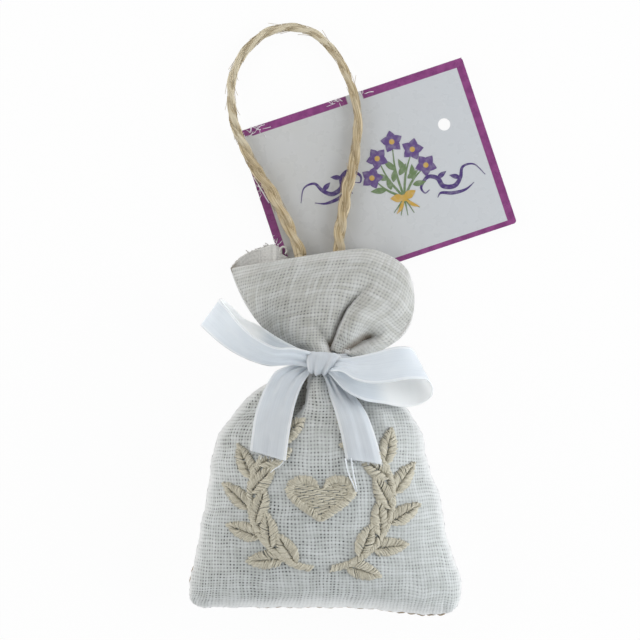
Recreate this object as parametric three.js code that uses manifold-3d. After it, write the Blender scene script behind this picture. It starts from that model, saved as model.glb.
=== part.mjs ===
// Lavender sachet: a cloth pouch of lavender, gathered at the neck and tied with a ribbon bow.
// A jute hanging loop is caught in the tie, and a small card is tucked into the mouth.
// Millimetres. The pouch lies on its back: +X runs across it, +Y from its bottom seam to its mouth,
// +Z up from the table. The origin is the middle of the flat patch that it rests on.
import * as THREE from 'three';
import { mergeVertices } from 'three/addons/utils/BufferGeometryUtils.js';
import Module from 'manifold-3d';

const wasm = await Module();
wasm.setup();

// Clearances between pieces that touch
const seatClearance = 0.3;
const seamClearance = 0.3;
const stitchClearance = 0.2;
const hingeClearance = 0.6;

// Cloth and thread thicknesses
const clothThickness = 0.7;
const hemThickness = 1.0;
const gatherThickness = 2.8;
const seamThreadDiameter = 0.5;
const embroideryThickness = 0.8;
const ribbonThickness = 0.4;
const twineDiameter = 2.8;

// Pouch body: places are measured along the pouch from its bottom seam
const bottomToOrigin = 24;
const bottomWidth = 66;
const middleWidth = 57;
const middlePlace = 26;
const shoulderWidth = 50;
const shoulderPlace = 42;
const gatherWidth = 33;
const gatherPlace = 53;
const bodyLength = 57.8;
const cornerRadius = 3;
const bodyLean = -1.2;
const crownHeight = 28;
const crownPlace = 34;
const bottomCrownHeight = 21;
const lowerCrownHeight = 25.5;
const lowerCrownPlace = 14;
const shoulderCrownHeight = 25.5;
const shoulderCrownPlace = 44;
const gatherCrownHeight = 19.5;
const frontBottomRound = 10;
const backBottomRound = 12;
const bottomSeamHeight = 9.5;
const sideSeamHeight = 11.5;
const bottomBackDepth = 10.5;
const middleBackDepth = 15;
const shoulderBackDepth = 13.5;
const gatherBackDepth = 8.5;
const restSoftening = 1.5;

// Neck, where the cloth is bunched round the twine
const neckLength = 4.8;
const neckHeight = 12;
const twineLegGap = 0.5;
const gatherFoldDepth = 0.7;
const gatherFoldReach = 4;
const gatherFolds = 5;

// Flared mouth above the neck
const flareLength = 25.4;
const leftCornerHeight = 1.7;
const rightCornerHeight = 2.4;
const rimGape = 7.2;
const bellyHeight = 12;
const tableClearance = 0.05;

// Hanging loop
const loopPivotBeyondRim = 2;
const loopPivotSpan = 9.9;
const loopPivotShift = -0.6;
const twineKnotLength = 7.4;
const twineKnotWidth = 6.2;

// Card
const cardWidth = 57.7;
const cardHeight = 42.6;
const cardThickness = 0.4;
const cardTurn = 18.45;
const cardCornerRadius = 0.6;
const cardHoleDiameter = 3;
const cardHoleFromRight = 9.3;
const cardHoleFromTop = 14.2;
const cardBeyondRim = 17.2;
const cardSideways = 13.7;

// Ribbon bow
const ribbonWidth = 10;
const ribbonRootWidth = 5.5;
const bandThickness = 0.8;
const bandEndRoom = 0.3;
const knotWidth = 11;
const knotLength = 6;
const knotHeight = 3.2;
const knotShift = 1.4;
const knotRounding = 0.9;
const tailLeftReach = 21.5;
const tailLeftRoot = 4.2;
const tailLeftSpread = 10.1;
const tailRightReach = 22;
const tailRightRoot = 1.9;
const tailRightSpread = 7.9;
const tailRightHinge = 0.47;

// Embroidered wreath on the front
const wreathRadius = 17;
const wreathPlace = 28;
const stemWidth = 1.8;
const leafLength = 8.8;
const leafWidth = 4.2;
const leafPairs = 5;
const leafTilt = 38;
const heartLength = 13.5;
const heartLobeWidth = 8;

// Facets
const panelColumns = 24;
const bodyRows = 14;
const neckRows = 2;
const flareRows = 9;

// Derived places and sizes
const bottomY = -bottomToOrigin;
const neckStartY = bottomY + bodyLength;
const neckEndY = neckStartY + neckLength;
const neckMiddleY = (neckStartY + neckEndY) / 2;
const seamGap = seamThreadDiameter + 2 * seamClearance;
const twineRadius = twineDiameter / 2;
const neckThickness = 2 * (gatherThickness + seatClearance + twineRadius);
const neckWidth = 2 * (gatherThickness + seatClearance + twineDiameter + twineLegGap / 2);
const bandInnerHalfWidth = neckWidth / 2 + seatClearance;
const bandInnerHalfHeight = neckThickness / 2 + seatClearance;
const bandTopHeight = neckHeight + bandInnerHalfHeight + bandThickness;
const knotMiddleX = bodyLean + knotShift;
const knotMiddleHeight = bandTopHeight + seatClearance + knotHeight / 2;
const rimY = neckEndY + flareLength;
const pivotY = rimY + loopPivotBeyondRim;
const cardBottomHeight = tableClearance + hemThickness + seatClearance;
const pivotHeight = cardBottomHeight + cardThickness + seatClearance + twineRadius;

const { clamp, degToRad, lerp, smoothstep } = THREE.MathUtils;
const point = (x, y, z) => new THREE.Vector3(x, y, z);
const mix = (from, to, share) => from.clone().lerp(to, share);

// A smooth curve of a value along the pouch, through [place from the bottom seam, value] knots
function alongPouch(knots) {
  const places = knots.map((knot) => bottomY + knot[0]);
  const values = knots.map((knot) => knot[1]);
  const curve = new THREE.CubicInterpolant(places, values, 1);
  return (y) => curve.evaluate(y)[0];
}

// How far a quarter-round edge of the given radius has risen at a distance in from that edge
function quarterRound(distance, radius) {
  const share = clamp(distance / radius, 0, 1);
  return Math.sqrt(1 - (1 - share) ** 2);
}

const widthAt = alongPouch([
  [0, bottomWidth], [cornerRadius, bottomWidth], [middlePlace, middleWidth],
  [shoulderPlace, shoulderWidth], [gatherPlace, gatherWidth], [bodyLength, neckWidth],
]);
const leanAt = alongPouch([
  [0, 0], [middlePlace, bodyLean / 2], [shoulderPlace, bodyLean], [bodyLength, bodyLean],
]);
const seamHeightAt = alongPouch([
  [0, bottomSeamHeight], [middlePlace, sideSeamHeight], [shoulderPlace, sideSeamHeight],
  [bodyLength, neckHeight],
]);
const crownAt = alongPouch([
  [0, bottomCrownHeight], [lowerCrownPlace, lowerCrownHeight], [crownPlace, crownHeight],
  [shoulderCrownPlace, shoulderCrownHeight], [gatherPlace, gatherCrownHeight],
  [bodyLength, neckHeight + neckThickness / 2],
]);
const backDepthAt = alongPouch([
  [0, bottomBackDepth], [middlePlace, middleBackDepth], [shoulderPlace, shoulderBackDepth],
  [gatherPlace, gatherBackDepth], [bodyLength, neckThickness / 2 - seamGap / 2],
]);

function halfWidthAt(y) {
  return widthAt(y) / 2 - cornerRadius * (1 - quarterRound(y - bottomY, cornerRadius));
}

// Depth of the pleats that spread from the neck into the body
function gatherAt(y) {
  const share = Math.max(neckStartY - y, 0) / gatherFoldReach;
  return gatherFoldDepth * share * Math.exp(1 - share);
}

// Front and back panels are the two halves of one closed section; side is 1 in front and -1 behind
function riseAt(side, y) {
  const front = (crownAt(y) - seamHeightAt(y) - seamGap / 2) * quarterRound(y - bottomY, frontBottomRound);
  const back = backDepthAt(y) * quarterRound(y - bottomY, backBottomRound);
  return side > 0 ? front : back;
}

// The table flattens the back, with a soft edge round the flat patch
function flattened(z) {
  if (z > restSoftening) return z;
  return Math.max(z + restSoftening, 0) ** 2 / (4 * restSoftening);
}

function sectionPoint(side, across, y) {
  const turn = Math.PI * (across + 1) / 2;
  const pleat = gatherAt(y) * Math.cos(2 * gatherFolds * turn);
  const rise = (riseAt(side, y) + pleat) * Math.sin(turn);
  const z = seamHeightAt(y) + side * (seamGap / 2 + rise);
  return point(leanAt(y) - halfWidthAt(y) * Math.cos(turn), y, flattened(z));
}

// The flare is lofted from the neck over a belly at half its length to the rim.
// Each row runs from the left seam to the right seam: x, place above the neck, height.
const leftSeam = { belly: [-16.9, 7.8, 6], rim: [-23.5, flareLength - 5.3, leftCornerHeight] };
const rightSeam = { belly: [17.6, 4.4, 6.5], rim: [21, flareLength - 8.3, rightCornerHeight] };
const frontBelly = [
  leftSeam.belly, [-12.5, 10, bellyHeight - 0.8], [-6.5, 11.6, bellyHeight], [-0.8, 12.2, bellyHeight],
  [5.5, 11.7, bellyHeight - 0.6], [12.3, 9.2, bellyHeight - 2], rightSeam.belly,
];
const frontRim = [
  leftSeam.rim, [-17, flareLength - 3.7, rimGape + 1.8], [-9, flareLength - 2.2, rimGape + 1],
  [-1, flareLength - 0.7, rimGape], [7, flareLength + 0.3, rimGape - 0.2],
  [15.2, flareLength - 1.5, rimGape - 1.2], rightSeam.rim,
];
const backBelly = [
  leftSeam.belly, [-12, 9.4, 2], [-6, 10.4, 0.5], [-0.6, 10.7, 0.1], [5.5, 10.2, 0.5], [12.2, 8.2, 2.2],
  rightSeam.belly,
];
const backRim = [
  leftSeam.rim, [-17.5, flareLength - 1.4, 0], [-9.5, flareLength + 0.2, 0], [-1, flareLength - 0.8, 0],
  [7, flareLength - 1, 0], [15, flareLength - 3.3, 0.2], rightSeam.rim,
];
const flareCurve = (row) => (
  new THREE.CatmullRomCurve3(row.map(([x, place, z]) => point(x, neckEndY + place, z)))
);
const flareCurves = {
  front: { belly: flareCurve(frontBelly), rim: flareCurve(frontRim) },
  back: { belly: flareCurve(backBelly), rim: flareCurve(backRim) },
};

// Creases that run down the front of the flare into the tie: where across it, how wide and how deep
const flareCreases = [
  { across: -0.55, width: 0.1, depth: 0.8 },
  { across: 0.3, width: 0.1, depth: 2.2 },
  { across: 0.7, width: 0.09, depth: 1.8 },
];

function flarePoint(side, across, share) {
  const curves = side > 0 ? flareCurves.front : flareCurves.back;
  const neck = sectionPoint(side, across, neckEndY);
  const belly = curves.belly.getPoint((across + 1) / 2);
  const rim = curves.rim.getPoint((across + 1) / 2);
  belly.z += side * seamGap / 2;
  rim.z += side * seamGap / 2;
  const control = belly.multiplyScalar(2).sub(mix(neck, rim, 0.5));
  const place = new THREE.QuadraticBezierCurve3(neck, control, rim).getPoint(share);
  if (side > 0) {
    const fade = smoothstep(share, 0, 0.4) * (1 - smoothstep(share, 0.5, 1));
    flareCreases.forEach((crease) => {
      place.z -= crease.depth * fade * Math.exp(-(((across - crease.across) / crease.width) ** 2));
    });
  }
  place.z = Math.max(place.z, tableClearance);
  return place;
}

// Along a panel, 0 is the bottom seam, 1 and 2 are the ends of the neck and 3 is the rim
const rowBunching = 0.12;

function panelPoint(side, across, along) {
  if (along <= 1) {
    const share = along - rowBunching * Math.sin(2 * Math.PI * along);
    return sectionPoint(side, across, lerp(bottomY, neckStartY, share));
  }
  if (along <= 2) return sectionPoint(side, across, lerp(neckStartY, neckEndY, along - 1));
  return flarePoint(side, across, along - 2);
}

function panelThickness(along) {
  const bunched = smoothstep(along, 0.8, 1) * (1 - smoothstep(along, 2, 2.5));
  const hemmed = smoothstep(along, 2.75, 2.85);
  const gathered = (gatherThickness - clothThickness) * bunched;
  const turnedIn = (hemThickness - clothThickness) * hemmed;
  return clothThickness + gathered + turnedIn;
}

// Outward direction of a panel; its seams face straight out, so that the two panels meet edge to edge
const slightly = 0.004;

function panelOutward(side, across, along) {
  const inNeck = along >= 1 && along <= 2;
  const before = panelPoint(side, across, Math.max(along - slightly, 0));
  const after = panelPoint(side, across, Math.min(along + slightly, 3));
  const lengthwise = inNeck ? point(0, 1, 0) : after.sub(before);
  if (along === 0) return point(Math.abs(across) === 1 ? across : 0, -1, 0).normalize();
  if (Math.abs(across) === 1) return point(lengthwise.y * across, -lengthwise.x * across, 0).normalize();
  const leftward = panelPoint(side, across - slightly, along);
  const crosswise = panelPoint(side, across + slightly, along).sub(leftward);
  return crosswise.cross(lengthwise).normalize().multiplyScalar(side);
}

function insidePanel(side, across, along, depth) {
  return panelPoint(side, across, along).addScaledVector(panelOutward(side, across, along), -depth);
}

const steps = (from, to, count) => Array.from({ length: count + 1 }, (_, i) => lerp(from, to, i / count));
const bodyAlong = steps(0, 1, bodyRows);
const neckAlong = steps(1, 2, neckRows).slice(1);
const flareAlong = steps(2, 3, flareRows).slice(1);
const panelAlong = [...bodyAlong, ...neckAlong, ...flareAlong];
const panelAcross = steps(-1, 1, panelColumns);

// Closed solids from rows of points
function solidGeometry(points, triangles) {
  const geometry = new THREE.BufferGeometry().setFromPoints(points);
  geometry.setIndex(triangles);
  geometry.computeVertexNormals();
  return geometry;
}

// A sheet with thickness: two equal grids of points, the upper one on the side that its rows turn up
function sheetGeometry(upper, lower) {
  const rows = upper.length;
  const columns = upper[0].length;
  const last = rows - 1;
  const end = columns - 1;
  const points = [...upper.flat(), ...lower.flat()];
  const top = (row, column) => row * columns + column;
  const bottom = (row, column) => rows * columns + top(row, column);
  const triangles = [];
  const quad = (a, b, c, d) => triangles.push(a, b, c, a, c, d);
  for (let row = 0; row < last; row += 1) {
    for (let column = 0; column < end; column += 1) {
      quad(top(row, column), top(row, column + 1), top(row + 1, column + 1), top(row + 1, column));
      quad(
        bottom(row, column), bottom(row + 1, column), bottom(row + 1, column + 1), bottom(row, column + 1),
      );
    }
    quad(bottom(row, 0), top(row, 0), top(row + 1, 0), bottom(row + 1, 0));
    quad(top(row, end), bottom(row, end), bottom(row + 1, end), top(row + 1, end));
  }
  for (let column = 0; column < end; column += 1) {
    quad(bottom(0, column), bottom(0, column + 1), top(0, column + 1), top(0, column));
    quad(top(last, column), top(last, column + 1), bottom(last, column + 1), bottom(last, column));
  }
  return solidGeometry(points, triangles);
}

// A closed solid from rings of points, each turning anticlockwise as seen from the last ring
function ringsGeometry(rings) {
  const count = rings[0].length;
  const points = rings.flat();
  const triangles = [];
  for (let ring = 0; ring < rings.length - 1; ring += 1) {
    for (let i = 0; i < count; i += 1) {
      const next = (i + 1) % count;
      const a = ring * count + i;
      const b = ring * count + next;
      triangles.push(a, b, b + count, a, b + count, a + count);
    }
  }
  const middleOf = (ring) => ring.reduce((sum, place) => sum.add(place), point(0, 0, 0)).divideScalar(count);
  const last = (rings.length - 1) * count;
  const start = points.push(middleOf(rings[0])) - 1;
  const end = points.push(middleOf(rings[rings.length - 1])) - 1;
  for (let i = 0; i < count; i += 1) {
    const next = (i + 1) % count;
    triangles.push(start, next, i, end, last + i, last + next);
  }
  return solidGeometry(points, triangles);
}

// A round cord along a curve; domed ends are half balls centred on the curve's ends
function cordGeometry(curve, stepCount, radius, sides, domed) {
  const frames = curve.computeFrenetFrames(stepCount, false);
  const ring = (index, shift, size) => steps(0, 2 * Math.PI, sides).slice(0, sides).map((angle) => (
    curve.getPointAt(index / stepCount)
      .addScaledVector(frames.tangents[index], shift)
      .addScaledVector(frames.normals[index], size * Math.cos(angle))
      .addScaledVector(frames.binormals[index], size * Math.sin(angle))
  ));
  const rings = frames.tangents.map((_, index) => ring(index, 0, radius));
  if (domed) {
    const domeAngles = [35, 70];
    domeAngles.map(degToRad).forEach((angle) => {
      rings.unshift(ring(0, -radius * Math.sin(angle), radius * Math.cos(angle)));
      rings.push(ring(stepCount, radius * Math.sin(angle), radius * Math.cos(angle)));
    });
  }
  return ringsGeometry(rings);
}

// Joining solids
const mergeTolerance = 1e-4;

function solidOf(geometry) {
  const bare = geometry.clone();
  bare.deleteAttribute('normal');
  bare.deleteAttribute('uv');
  const merged = mergeVertices(bare, mergeTolerance);
  const vertProperties = Float32Array.from(merged.attributes.position.array);
  const triVerts = Uint32Array.from(merged.index.array);
  return new wasm.Manifold(new wasm.Mesh({ numProp: 3, vertProperties, triVerts }));
}

function joined(geometries) {
  const mesh = geometries.map(solidOf).reduce((whole, solid) => whole.add(solid)).getMesh();
  const geometry = new THREE.BufferGeometry();
  const places = Float32Array.from(mesh.vertProperties);
  geometry.setAttribute('position', new THREE.BufferAttribute(places, mesh.numProp));
  geometry.setIndex(Array.from(mesh.triVerts));
  geometry.computeVertexNormals();
  return geometry;
}

const sachet = new THREE.Group();

function addPiece(name, geometry, color, roughness) {
  const mesh = new THREE.Mesh(geometry, new THREE.MeshStandardMaterial({ color, roughness, metalness: 0 }));
  mesh.name = name;
  sachet.add(mesh);
  return mesh;
}

const clothColour = 0xd6d7d6;
const threadColour = 0xbfb294;
const ribbonColour = 0xd8dde6;
const twineColour = 0xc8ae80;
const cardColour = 0xcfd1d4;
const lavenderColour = 0x6f6a8c;

// Cloth panels, sewn together down both sides and along the bottom
function panelGeometry(side) {
  const outer = panelAlong.map((along) => panelAcross.map((across) => panelPoint(side, across, along)));
  const inner = panelAlong.map((along) => (
    panelAcross.map((across) => insidePanel(side, across, along, panelThickness(along)))
  ));
  return side > 0 ? sheetGeometry(outer, inner) : sheetGeometry(inner, outer);
}

addPiece('front_panel', panelGeometry(1), clothColour, 0.9);
addPiece('back_panel', panelGeometry(-1), clothColour, 0.9);

// Seam thread, which runs between the panels' edges from one corner of the mouth round to the other
function seamPoint(across, along) {
  const front = insidePanel(1, across, along, panelThickness(along) / 2);
  const back = insidePanel(-1, across, along, panelThickness(along) / 2);
  return mix(front, back, 0.5);
}

const leftSeamPoints = panelAlong.map((along) => seamPoint(-1, along)).reverse();
const bottomAcross = panelAcross.slice(1, -1).filter((_, i) => i % 2 === 1);
const bottomSeamPoints = bottomAcross.map((across) => seamPoint(across, 0));
const rightSeamPoints = panelAlong.map((along) => seamPoint(1, along));
const seamPoints = [...leftSeamPoints, ...bottomSeamPoints, ...rightSeamPoints];

function threadGeometry(places, radius) {
  const corners = [[-1, 0], [0, -1], [1, 0], [0, 1]];
  const rings = places.map((place, i) => {
    const before = places[Math.max(i - 1, 0)];
    const after = places[Math.min(i + 1, places.length - 1)];
    const ahead = after.clone().sub(before).normalize();
    const level = point(-ahead.y, ahead.x, 0).normalize();
    const upright = ahead.clone().cross(level);
    return corners.map(([a, b]) => (
      place.clone().addScaledVector(level, a * radius).addScaledVector(upright, b * radius)
    ));
  });
  return ringsGeometry(rings);
}

addPiece('seam_thread', threadGeometry(seamPoints, seamThreadDiameter / 2), clothColour, 0.8);

// Lavender that fills the body, closed off by the gathered cloth above it
const fillingTop = 0.75;
const fillingCloseIn = 0.12;

function fillingRing(along, closeIn) {
  const depth = clothThickness + seatClearance;
  const front = panelAcross.map((across) => insidePanel(1, across, along, depth));
  const back = panelAcross.map((across) => insidePanel(-1, across, along, depth)).reverse();
  const ring = [...front, ...back];
  const middle = mix(front[0], front[panelColumns], 0.5);
  return ring.map((place) => mix(place, middle, closeIn));
}

const fillingAlong = bodyAlong.filter((along) => along <= fillingTop);
const topAlong = fillingAlong[fillingAlong.length - 1];
const fillingRings = fillingAlong.map((along) => fillingRing(along, along === topAlong ? fillingCloseIn : 0));
addPiece('lavender_filling', ringsGeometry(fillingRings), lavenderColour, 1);

// Places on the front of the body, lifted straight off the cloth or along its normal
function frontHeight(x, y) {
  const share = clamp((x - leanAt(y)) / halfWidthAt(y), -0.999, 0.999);
  const turn = Math.acos(-share);
  const pleat = gatherAt(y) * Math.cos(2 * gatherFolds * turn);
  return seamHeightAt(y) + seamGap / 2 + (riseAt(1, y) + pleat) * Math.sin(turn);
}

// Direction straight out of the front, with a height of 1
function frontSteepness(x, y) {
  const nudge = 0.05;
  const slopeX = (frontHeight(x + nudge, y) - frontHeight(x - nudge, y)) / (2 * nudge);
  const slopeY = (frontHeight(x, y + nudge) - frontHeight(x, y - nudge)) / (2 * nudge);
  return point(-slopeX, -slopeY, 1);
}

function onFront(x, y, lift) {
  return point(x, y, frontHeight(x, y)).addScaledVector(frontSteepness(x, y).normalize(), lift);
}

// Embroidery: raised satin-stitch leaves and stems that follow the swell of the front
function stitchedPatch(middles, sideways, halfWidths) {
  const edgeShare = 0.5;
  const row = (i, lifts) => [-1, 0, 1].map((k) => {
    const place = middles[i].clone().addScaledVector(sideways[i], k * halfWidths[i]);
    return onFront(place.x, place.y, stitchClearance + lifts[k + 1] * embroideryThickness);
  });
  const upper = middles.map((_, i) => row(i, [edgeShare, 1, edgeShare]));
  const lower = middles.map((_, i) => row(i, [0, 0, 0]));
  return sheetGeometry(upper, lower);
}

// A leaf is fullest at its middle; a skew above 1 moves that place towards its tip
function leafGeometry(base, heading, length, width, skew) {
  const ahead = new THREE.Vector2(Math.cos(heading), Math.sin(heading));
  const right = new THREE.Vector2(ahead.y, -ahead.x);
  const shares = [0, 0.2, 0.5, 0.8, 1];
  const tip = 0.12;
  const middles = shares.map((share) => base.clone().addScaledVector(ahead, share * length));
  const fullness = (share) => Math.max(Math.sin(Math.PI * share ** skew), 0) ** 0.7;
  const halfWidths = shares.map((share) => tip + (width / 2 - tip) * fullness(share));
  return stitchedPatch(middles, shares.map(() => right), halfWidths);
}

const wreathMiddle = new THREE.Vector2(bodyLean, bottomY + wreathPlace);
const stemStart = degToRad(-82);
const stemEnd = degToRad(52);
const stemSteps = 10;

// One branch of the wreath; hand is 1 on the right and -1 on the left
function branchGeometry(hand) {
  const onStem = (angle) => wreathMiddle.clone()
    .add(new THREE.Vector2(hand * wreathRadius * Math.cos(angle), wreathRadius * Math.sin(angle)));
  const headingAt = (angle) => (hand > 0 ? angle + Math.PI / 2 : Math.PI / 2 - angle);
  const angles = steps(stemStart, stemEnd, stemSteps);
  const sideways = angles.map((angle) => new THREE.Vector2(Math.cos(angle), hand * Math.sin(angle)));
  const stem = stitchedPatch(angles.map(onStem), sideways, angles.map(() => stemWidth / 2));
  const tipAngle = stemEnd - degToRad(1.5);
  const pieces = [stem, leafGeometry(onStem(tipAngle), headingAt(tipAngle), leafLength, leafWidth, 1)];
  const leafStep = (stemEnd - stemStart) / (2 * leafPairs + 1);
  for (let leaf = 1; leaf <= 2 * leafPairs; leaf += 1) {
    const angle = stemStart + leaf * leafStep;
    const turn = leaf % 2 === 0 ? 1 : -1;
    const heading = headingAt(angle) + turn * degToRad(leafTilt);
    pieces.push(leafGeometry(onStem(angle), heading, leafLength, leafWidth, 1));
  }
  return joined(pieces);
}

function heartGeometry() {
  const base = wreathMiddle.clone().add(new THREE.Vector2(0, -heartLength / 2));
  const lobeTilt = degToRad(27);
  const lobeSkew = 1.9;
  return joined([-1, 1].map((turn) => (
    leafGeometry(base, Math.PI / 2 + turn * lobeTilt, heartLength, heartLobeWidth, lobeSkew)
  )));
}

addPiece('embroidery_branch_left', branchGeometry(-1), threadColour, 0.6);
addPiece('embroidery_branch_right', branchGeometry(1), threadColour, 0.6);
addPiece('embroidery_heart', heartGeometry(), threadColour, 0.6);

// Ribbon band drawn tight round the neck
function bandGeometry() {
  const half = (neckLength - 2 * bandEndRoom) / 2;
  const corners = [[0, -half], [bandThickness, -half], [bandThickness, half], [0, half]];
  const turns = 24;
  const angles = steps(0, 2 * Math.PI, turns).slice(0, turns);
  const rings = angles.map((angle) => corners.map(([out, shift]) => point(
    bodyLean + (bandInnerHalfWidth + out) * Math.cos(angle),
    neckMiddleY + shift,
    neckHeight + (bandInnerHalfHeight + out) * Math.sin(angle),
  )));
  const triangles = [];
  rings.forEach((_, i) => corners.forEach((__, k) => {
    const a = i * 4 + k;
    const b = i * 4 + (k + 1) % 4;
    const c = ((i + 1) % turns) * 4 + (k + 1) % 4;
    const d = ((i + 1) % turns) * 4 + k;
    triangles.push(a, b, c, a, c, d);
  }));
  return solidGeometry(rings.flat(), triangles);
}

addPiece('ribbon_band', bandGeometry(), ribbonColour, 0.5);

// Ribbon ends that lie on the front of the pouch
function tailGrid(places, widths, from, to) {
  const curve = new THREE.CatmullRomCurve3(places.map(([x, y]) => point(x, y, 0)));
  const widthCurve = new THREE.SplineCurve(widths.map((width, i) => new THREE.Vector2(i, width)));
  const embroideryTop = stitchClearance + embroideryThickness;
  const root = curve.getPoint(0);
  const rootRise = knotMiddleHeight - frontHeight(root.x, root.y) - seatClearance;
  const grid = (extra) => steps(from, to, 9).map((share) => {
    const middle = curve.getPoint(share);
    const ahead = curve.getTangent(share);
    const sideways = point(ahead.y, -ahead.x, 0);
    const width = widthCurve.getPoint(share).y;
    return steps(-0.5, 0.5, 4).map((k) => {
      const place = middle.clone().addScaledVector(sideways, k * width);
      const spread = smoothstep(share, 0, 0.35);
      const overStitches = (seatClearance + embroideryTop) * frontSteepness(place.x, place.y).length();
      const onCloth = frontHeight(place.x, place.y) + overStitches;
      const atRoot = frontHeight(middle.x, middle.y) + seatClearance + rootRise;
      place.z = lerp(atRoot, onCloth, spread) + extra;
      return place;
    });
  });
  return sheetGeometry(grid(ribbonThickness), grid(0));
}

const knotFrontY = neckMiddleY - knotLength / 2;
const tailRootY = knotFrontY - hingeClearance - seatClearance;
const tailWidths = [ribbonRootWidth, 8.6, ribbonWidth, ribbonWidth];
const tailPlaces = (side, root, spread, reach, startY, bends) => [
  [knotMiddleX + side * root, startY],
  [knotMiddleX + side * (root + bends[0] * spread), tailRootY - 0.3 * reach],
  [knotMiddleX + side * (root + bends[1] * spread), tailRootY - 0.68 * reach],
  [knotMiddleX + side * (root + spread), tailRootY - reach],
];
const tailLeftPlaces = tailPlaces(-1, tailLeftRoot, tailLeftSpread, tailLeftReach, tailRootY, [0.14, 0.64]);
const tailTopY = knotFrontY + 1;
const tailRightPlaces = tailPlaces(1, tailRightRoot, tailRightSpread, tailRightReach, tailTopY, [0.29, 0.7]);

addPiece('bow_tail_left', tailGrid(tailLeftPlaces, tailWidths, 0, 1), ribbonColour, 0.5);

// The right tail's root lies under the bow's right loop, so it lifts from where it comes out
const tailRightStart = tailRightHinge + seatClearance / tailRightReach;
addPiece('bow_tail_right', tailGrid(tailRightPlaces, tailWidths, tailRightStart, 1), ribbonColour, 0.5);

// Knot of the bow, with the root of the right tail coming out under it
function knotGeometry() {
  const outline = new THREE.Shape();
  const halfWidth = knotWidth / 2 - knotRounding;
  const halfLength = knotLength / 2 - knotRounding;
  outline.moveTo(-halfWidth, -halfLength);
  outline.lineTo(halfWidth, -halfLength);
  outline.lineTo(halfWidth, halfLength);
  outline.lineTo(-halfWidth, halfLength);
  const block = new THREE.ExtrudeGeometry(outline, {
    depth: knotHeight - 2 * knotRounding,
    bevelSize: knotRounding,
    bevelThickness: knotRounding,
    bevelSegments: 3,
  });
  block.translate(knotMiddleX, neckMiddleY, knotMiddleHeight - knotHeight / 2 + knotRounding);
  return joined([block, tailGrid(tailRightPlaces, tailWidths, 0, tailRightHinge)]);
}

addPiece('ribbon_knot', knotGeometry(), ribbonColour, 0.5);

// Bow loops: each is a strip that runs out from the knot, folds over and comes back under itself.
// Stations give the way out from the knot, height, sideways shift, tilt in degrees and width.
function bowLoopGeometry(root, heading, stations) {
  const out = point(Math.cos(heading), Math.sin(heading), 0);
  const level = point(-out.y, out.x, 0);
  const places = stations.map(([reach, height, shift]) => (
    root.clone().addScaledVector(out, reach).addScaledVector(level, shift).add(point(0, 0, height))
  ));
  const curve = new THREE.CatmullRomCurve3(places);
  const manner = new THREE.CatmullRomCurve3(stations.map((station) => point(station[3], station[4], 0)));
  const count = 2 * (stations.length - 1);
  const grid = (extra) => steps(0, 1, count).map((share) => {
    const { x: degrees, y: width } = manner.getPoint(share);
    const tilt = degToRad(degrees);
    const sideways = level.clone().multiplyScalar(Math.cos(tilt)).add(point(0, 0, Math.sin(tilt)));
    const thicknessways = sideways.clone().cross(curve.getTangent(share)).normalize();
    return [-0.5, 0, 0.5].map((k) => (
      curve.getPoint(share).addScaledVector(sideways, k * width).addScaledVector(thicknessways, extra)
    ));
  });
  return sheetGeometry(grid(ribbonThickness / 2), grid(-ribbonThickness / 2));
}

const rootSplit = (ribbonThickness + seatClearance) / 2;
function rootReach(heading) {
  const turnedRoot = Math.abs(Math.sin(heading)) * ribbonRootWidth / 2;
  return Math.sign(Math.cos(heading)) * (knotWidth / 2 + hingeClearance + turnedRoot);
}

const bowLeftHeading = degToRad(154);
const bowLeftRoot = point(knotMiddleX + rootReach(bowLeftHeading), neckMiddleY + 1.2, knotMiddleHeight);
const bowLeftStations = [
  [0, rootSplit, 0, 0, ribbonRootWidth], [5, 2.6, 0, 0, 9], [12, 2.2, 0, 0, ribbonWidth],
  [19, -1.2, 0, 0, ribbonWidth], [22.8, -3.8, 0, 0, ribbonWidth], [23.7, -5.2, -0.2, 0, ribbonWidth],
  [22.6, -6.2, -0.5, 0, ribbonWidth], [19, -5.9, -1, 0, ribbonWidth], [12, -3.8, -1.4, 0, ribbonWidth],
  [5, -1.6, -0.8, 0, 8.5], [0, -rootSplit, 0, 0, ribbonRootWidth],
];
const bowRightHeading = degToRad(-16);
const bowRightRoot = point(knotMiddleX + rootReach(bowRightHeading), neckMiddleY - 0.2, knotMiddleHeight);
const bowRightStations = [
  [0, rootSplit, 0, 0, ribbonRootWidth], [4, 3.6, 0.6, 0, 9], [10, 5.6, 0.8, -5, ribbonWidth],
  [15.5, 5, 0.2, -10, ribbonWidth], [18.5, 3, -0.8, -15, ribbonWidth], [19.2, 1.4, -1.6, -18, ribbonWidth],
  [18.3, 0, -2.4, -20, ribbonWidth], [14.5, -0.2, -3.6, -22, ribbonWidth], [9, 0.8, -4.2, -22, ribbonWidth],
  [4, 0.5, -3, -15, 8.5], [0, -rootSplit, 0, 0, ribbonRootWidth],
];

const bowLeft = bowLoopGeometry(bowLeftRoot, bowLeftHeading, bowLeftStations);
const bowRight = bowLoopGeometry(bowRightRoot, bowRightHeading, bowRightStations);
addPiece('bow_loop_left', bowLeft, ribbonColour, 0.5);
addPiece('bow_loop_right', bowRight, ribbonColour, 0.5);

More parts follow.
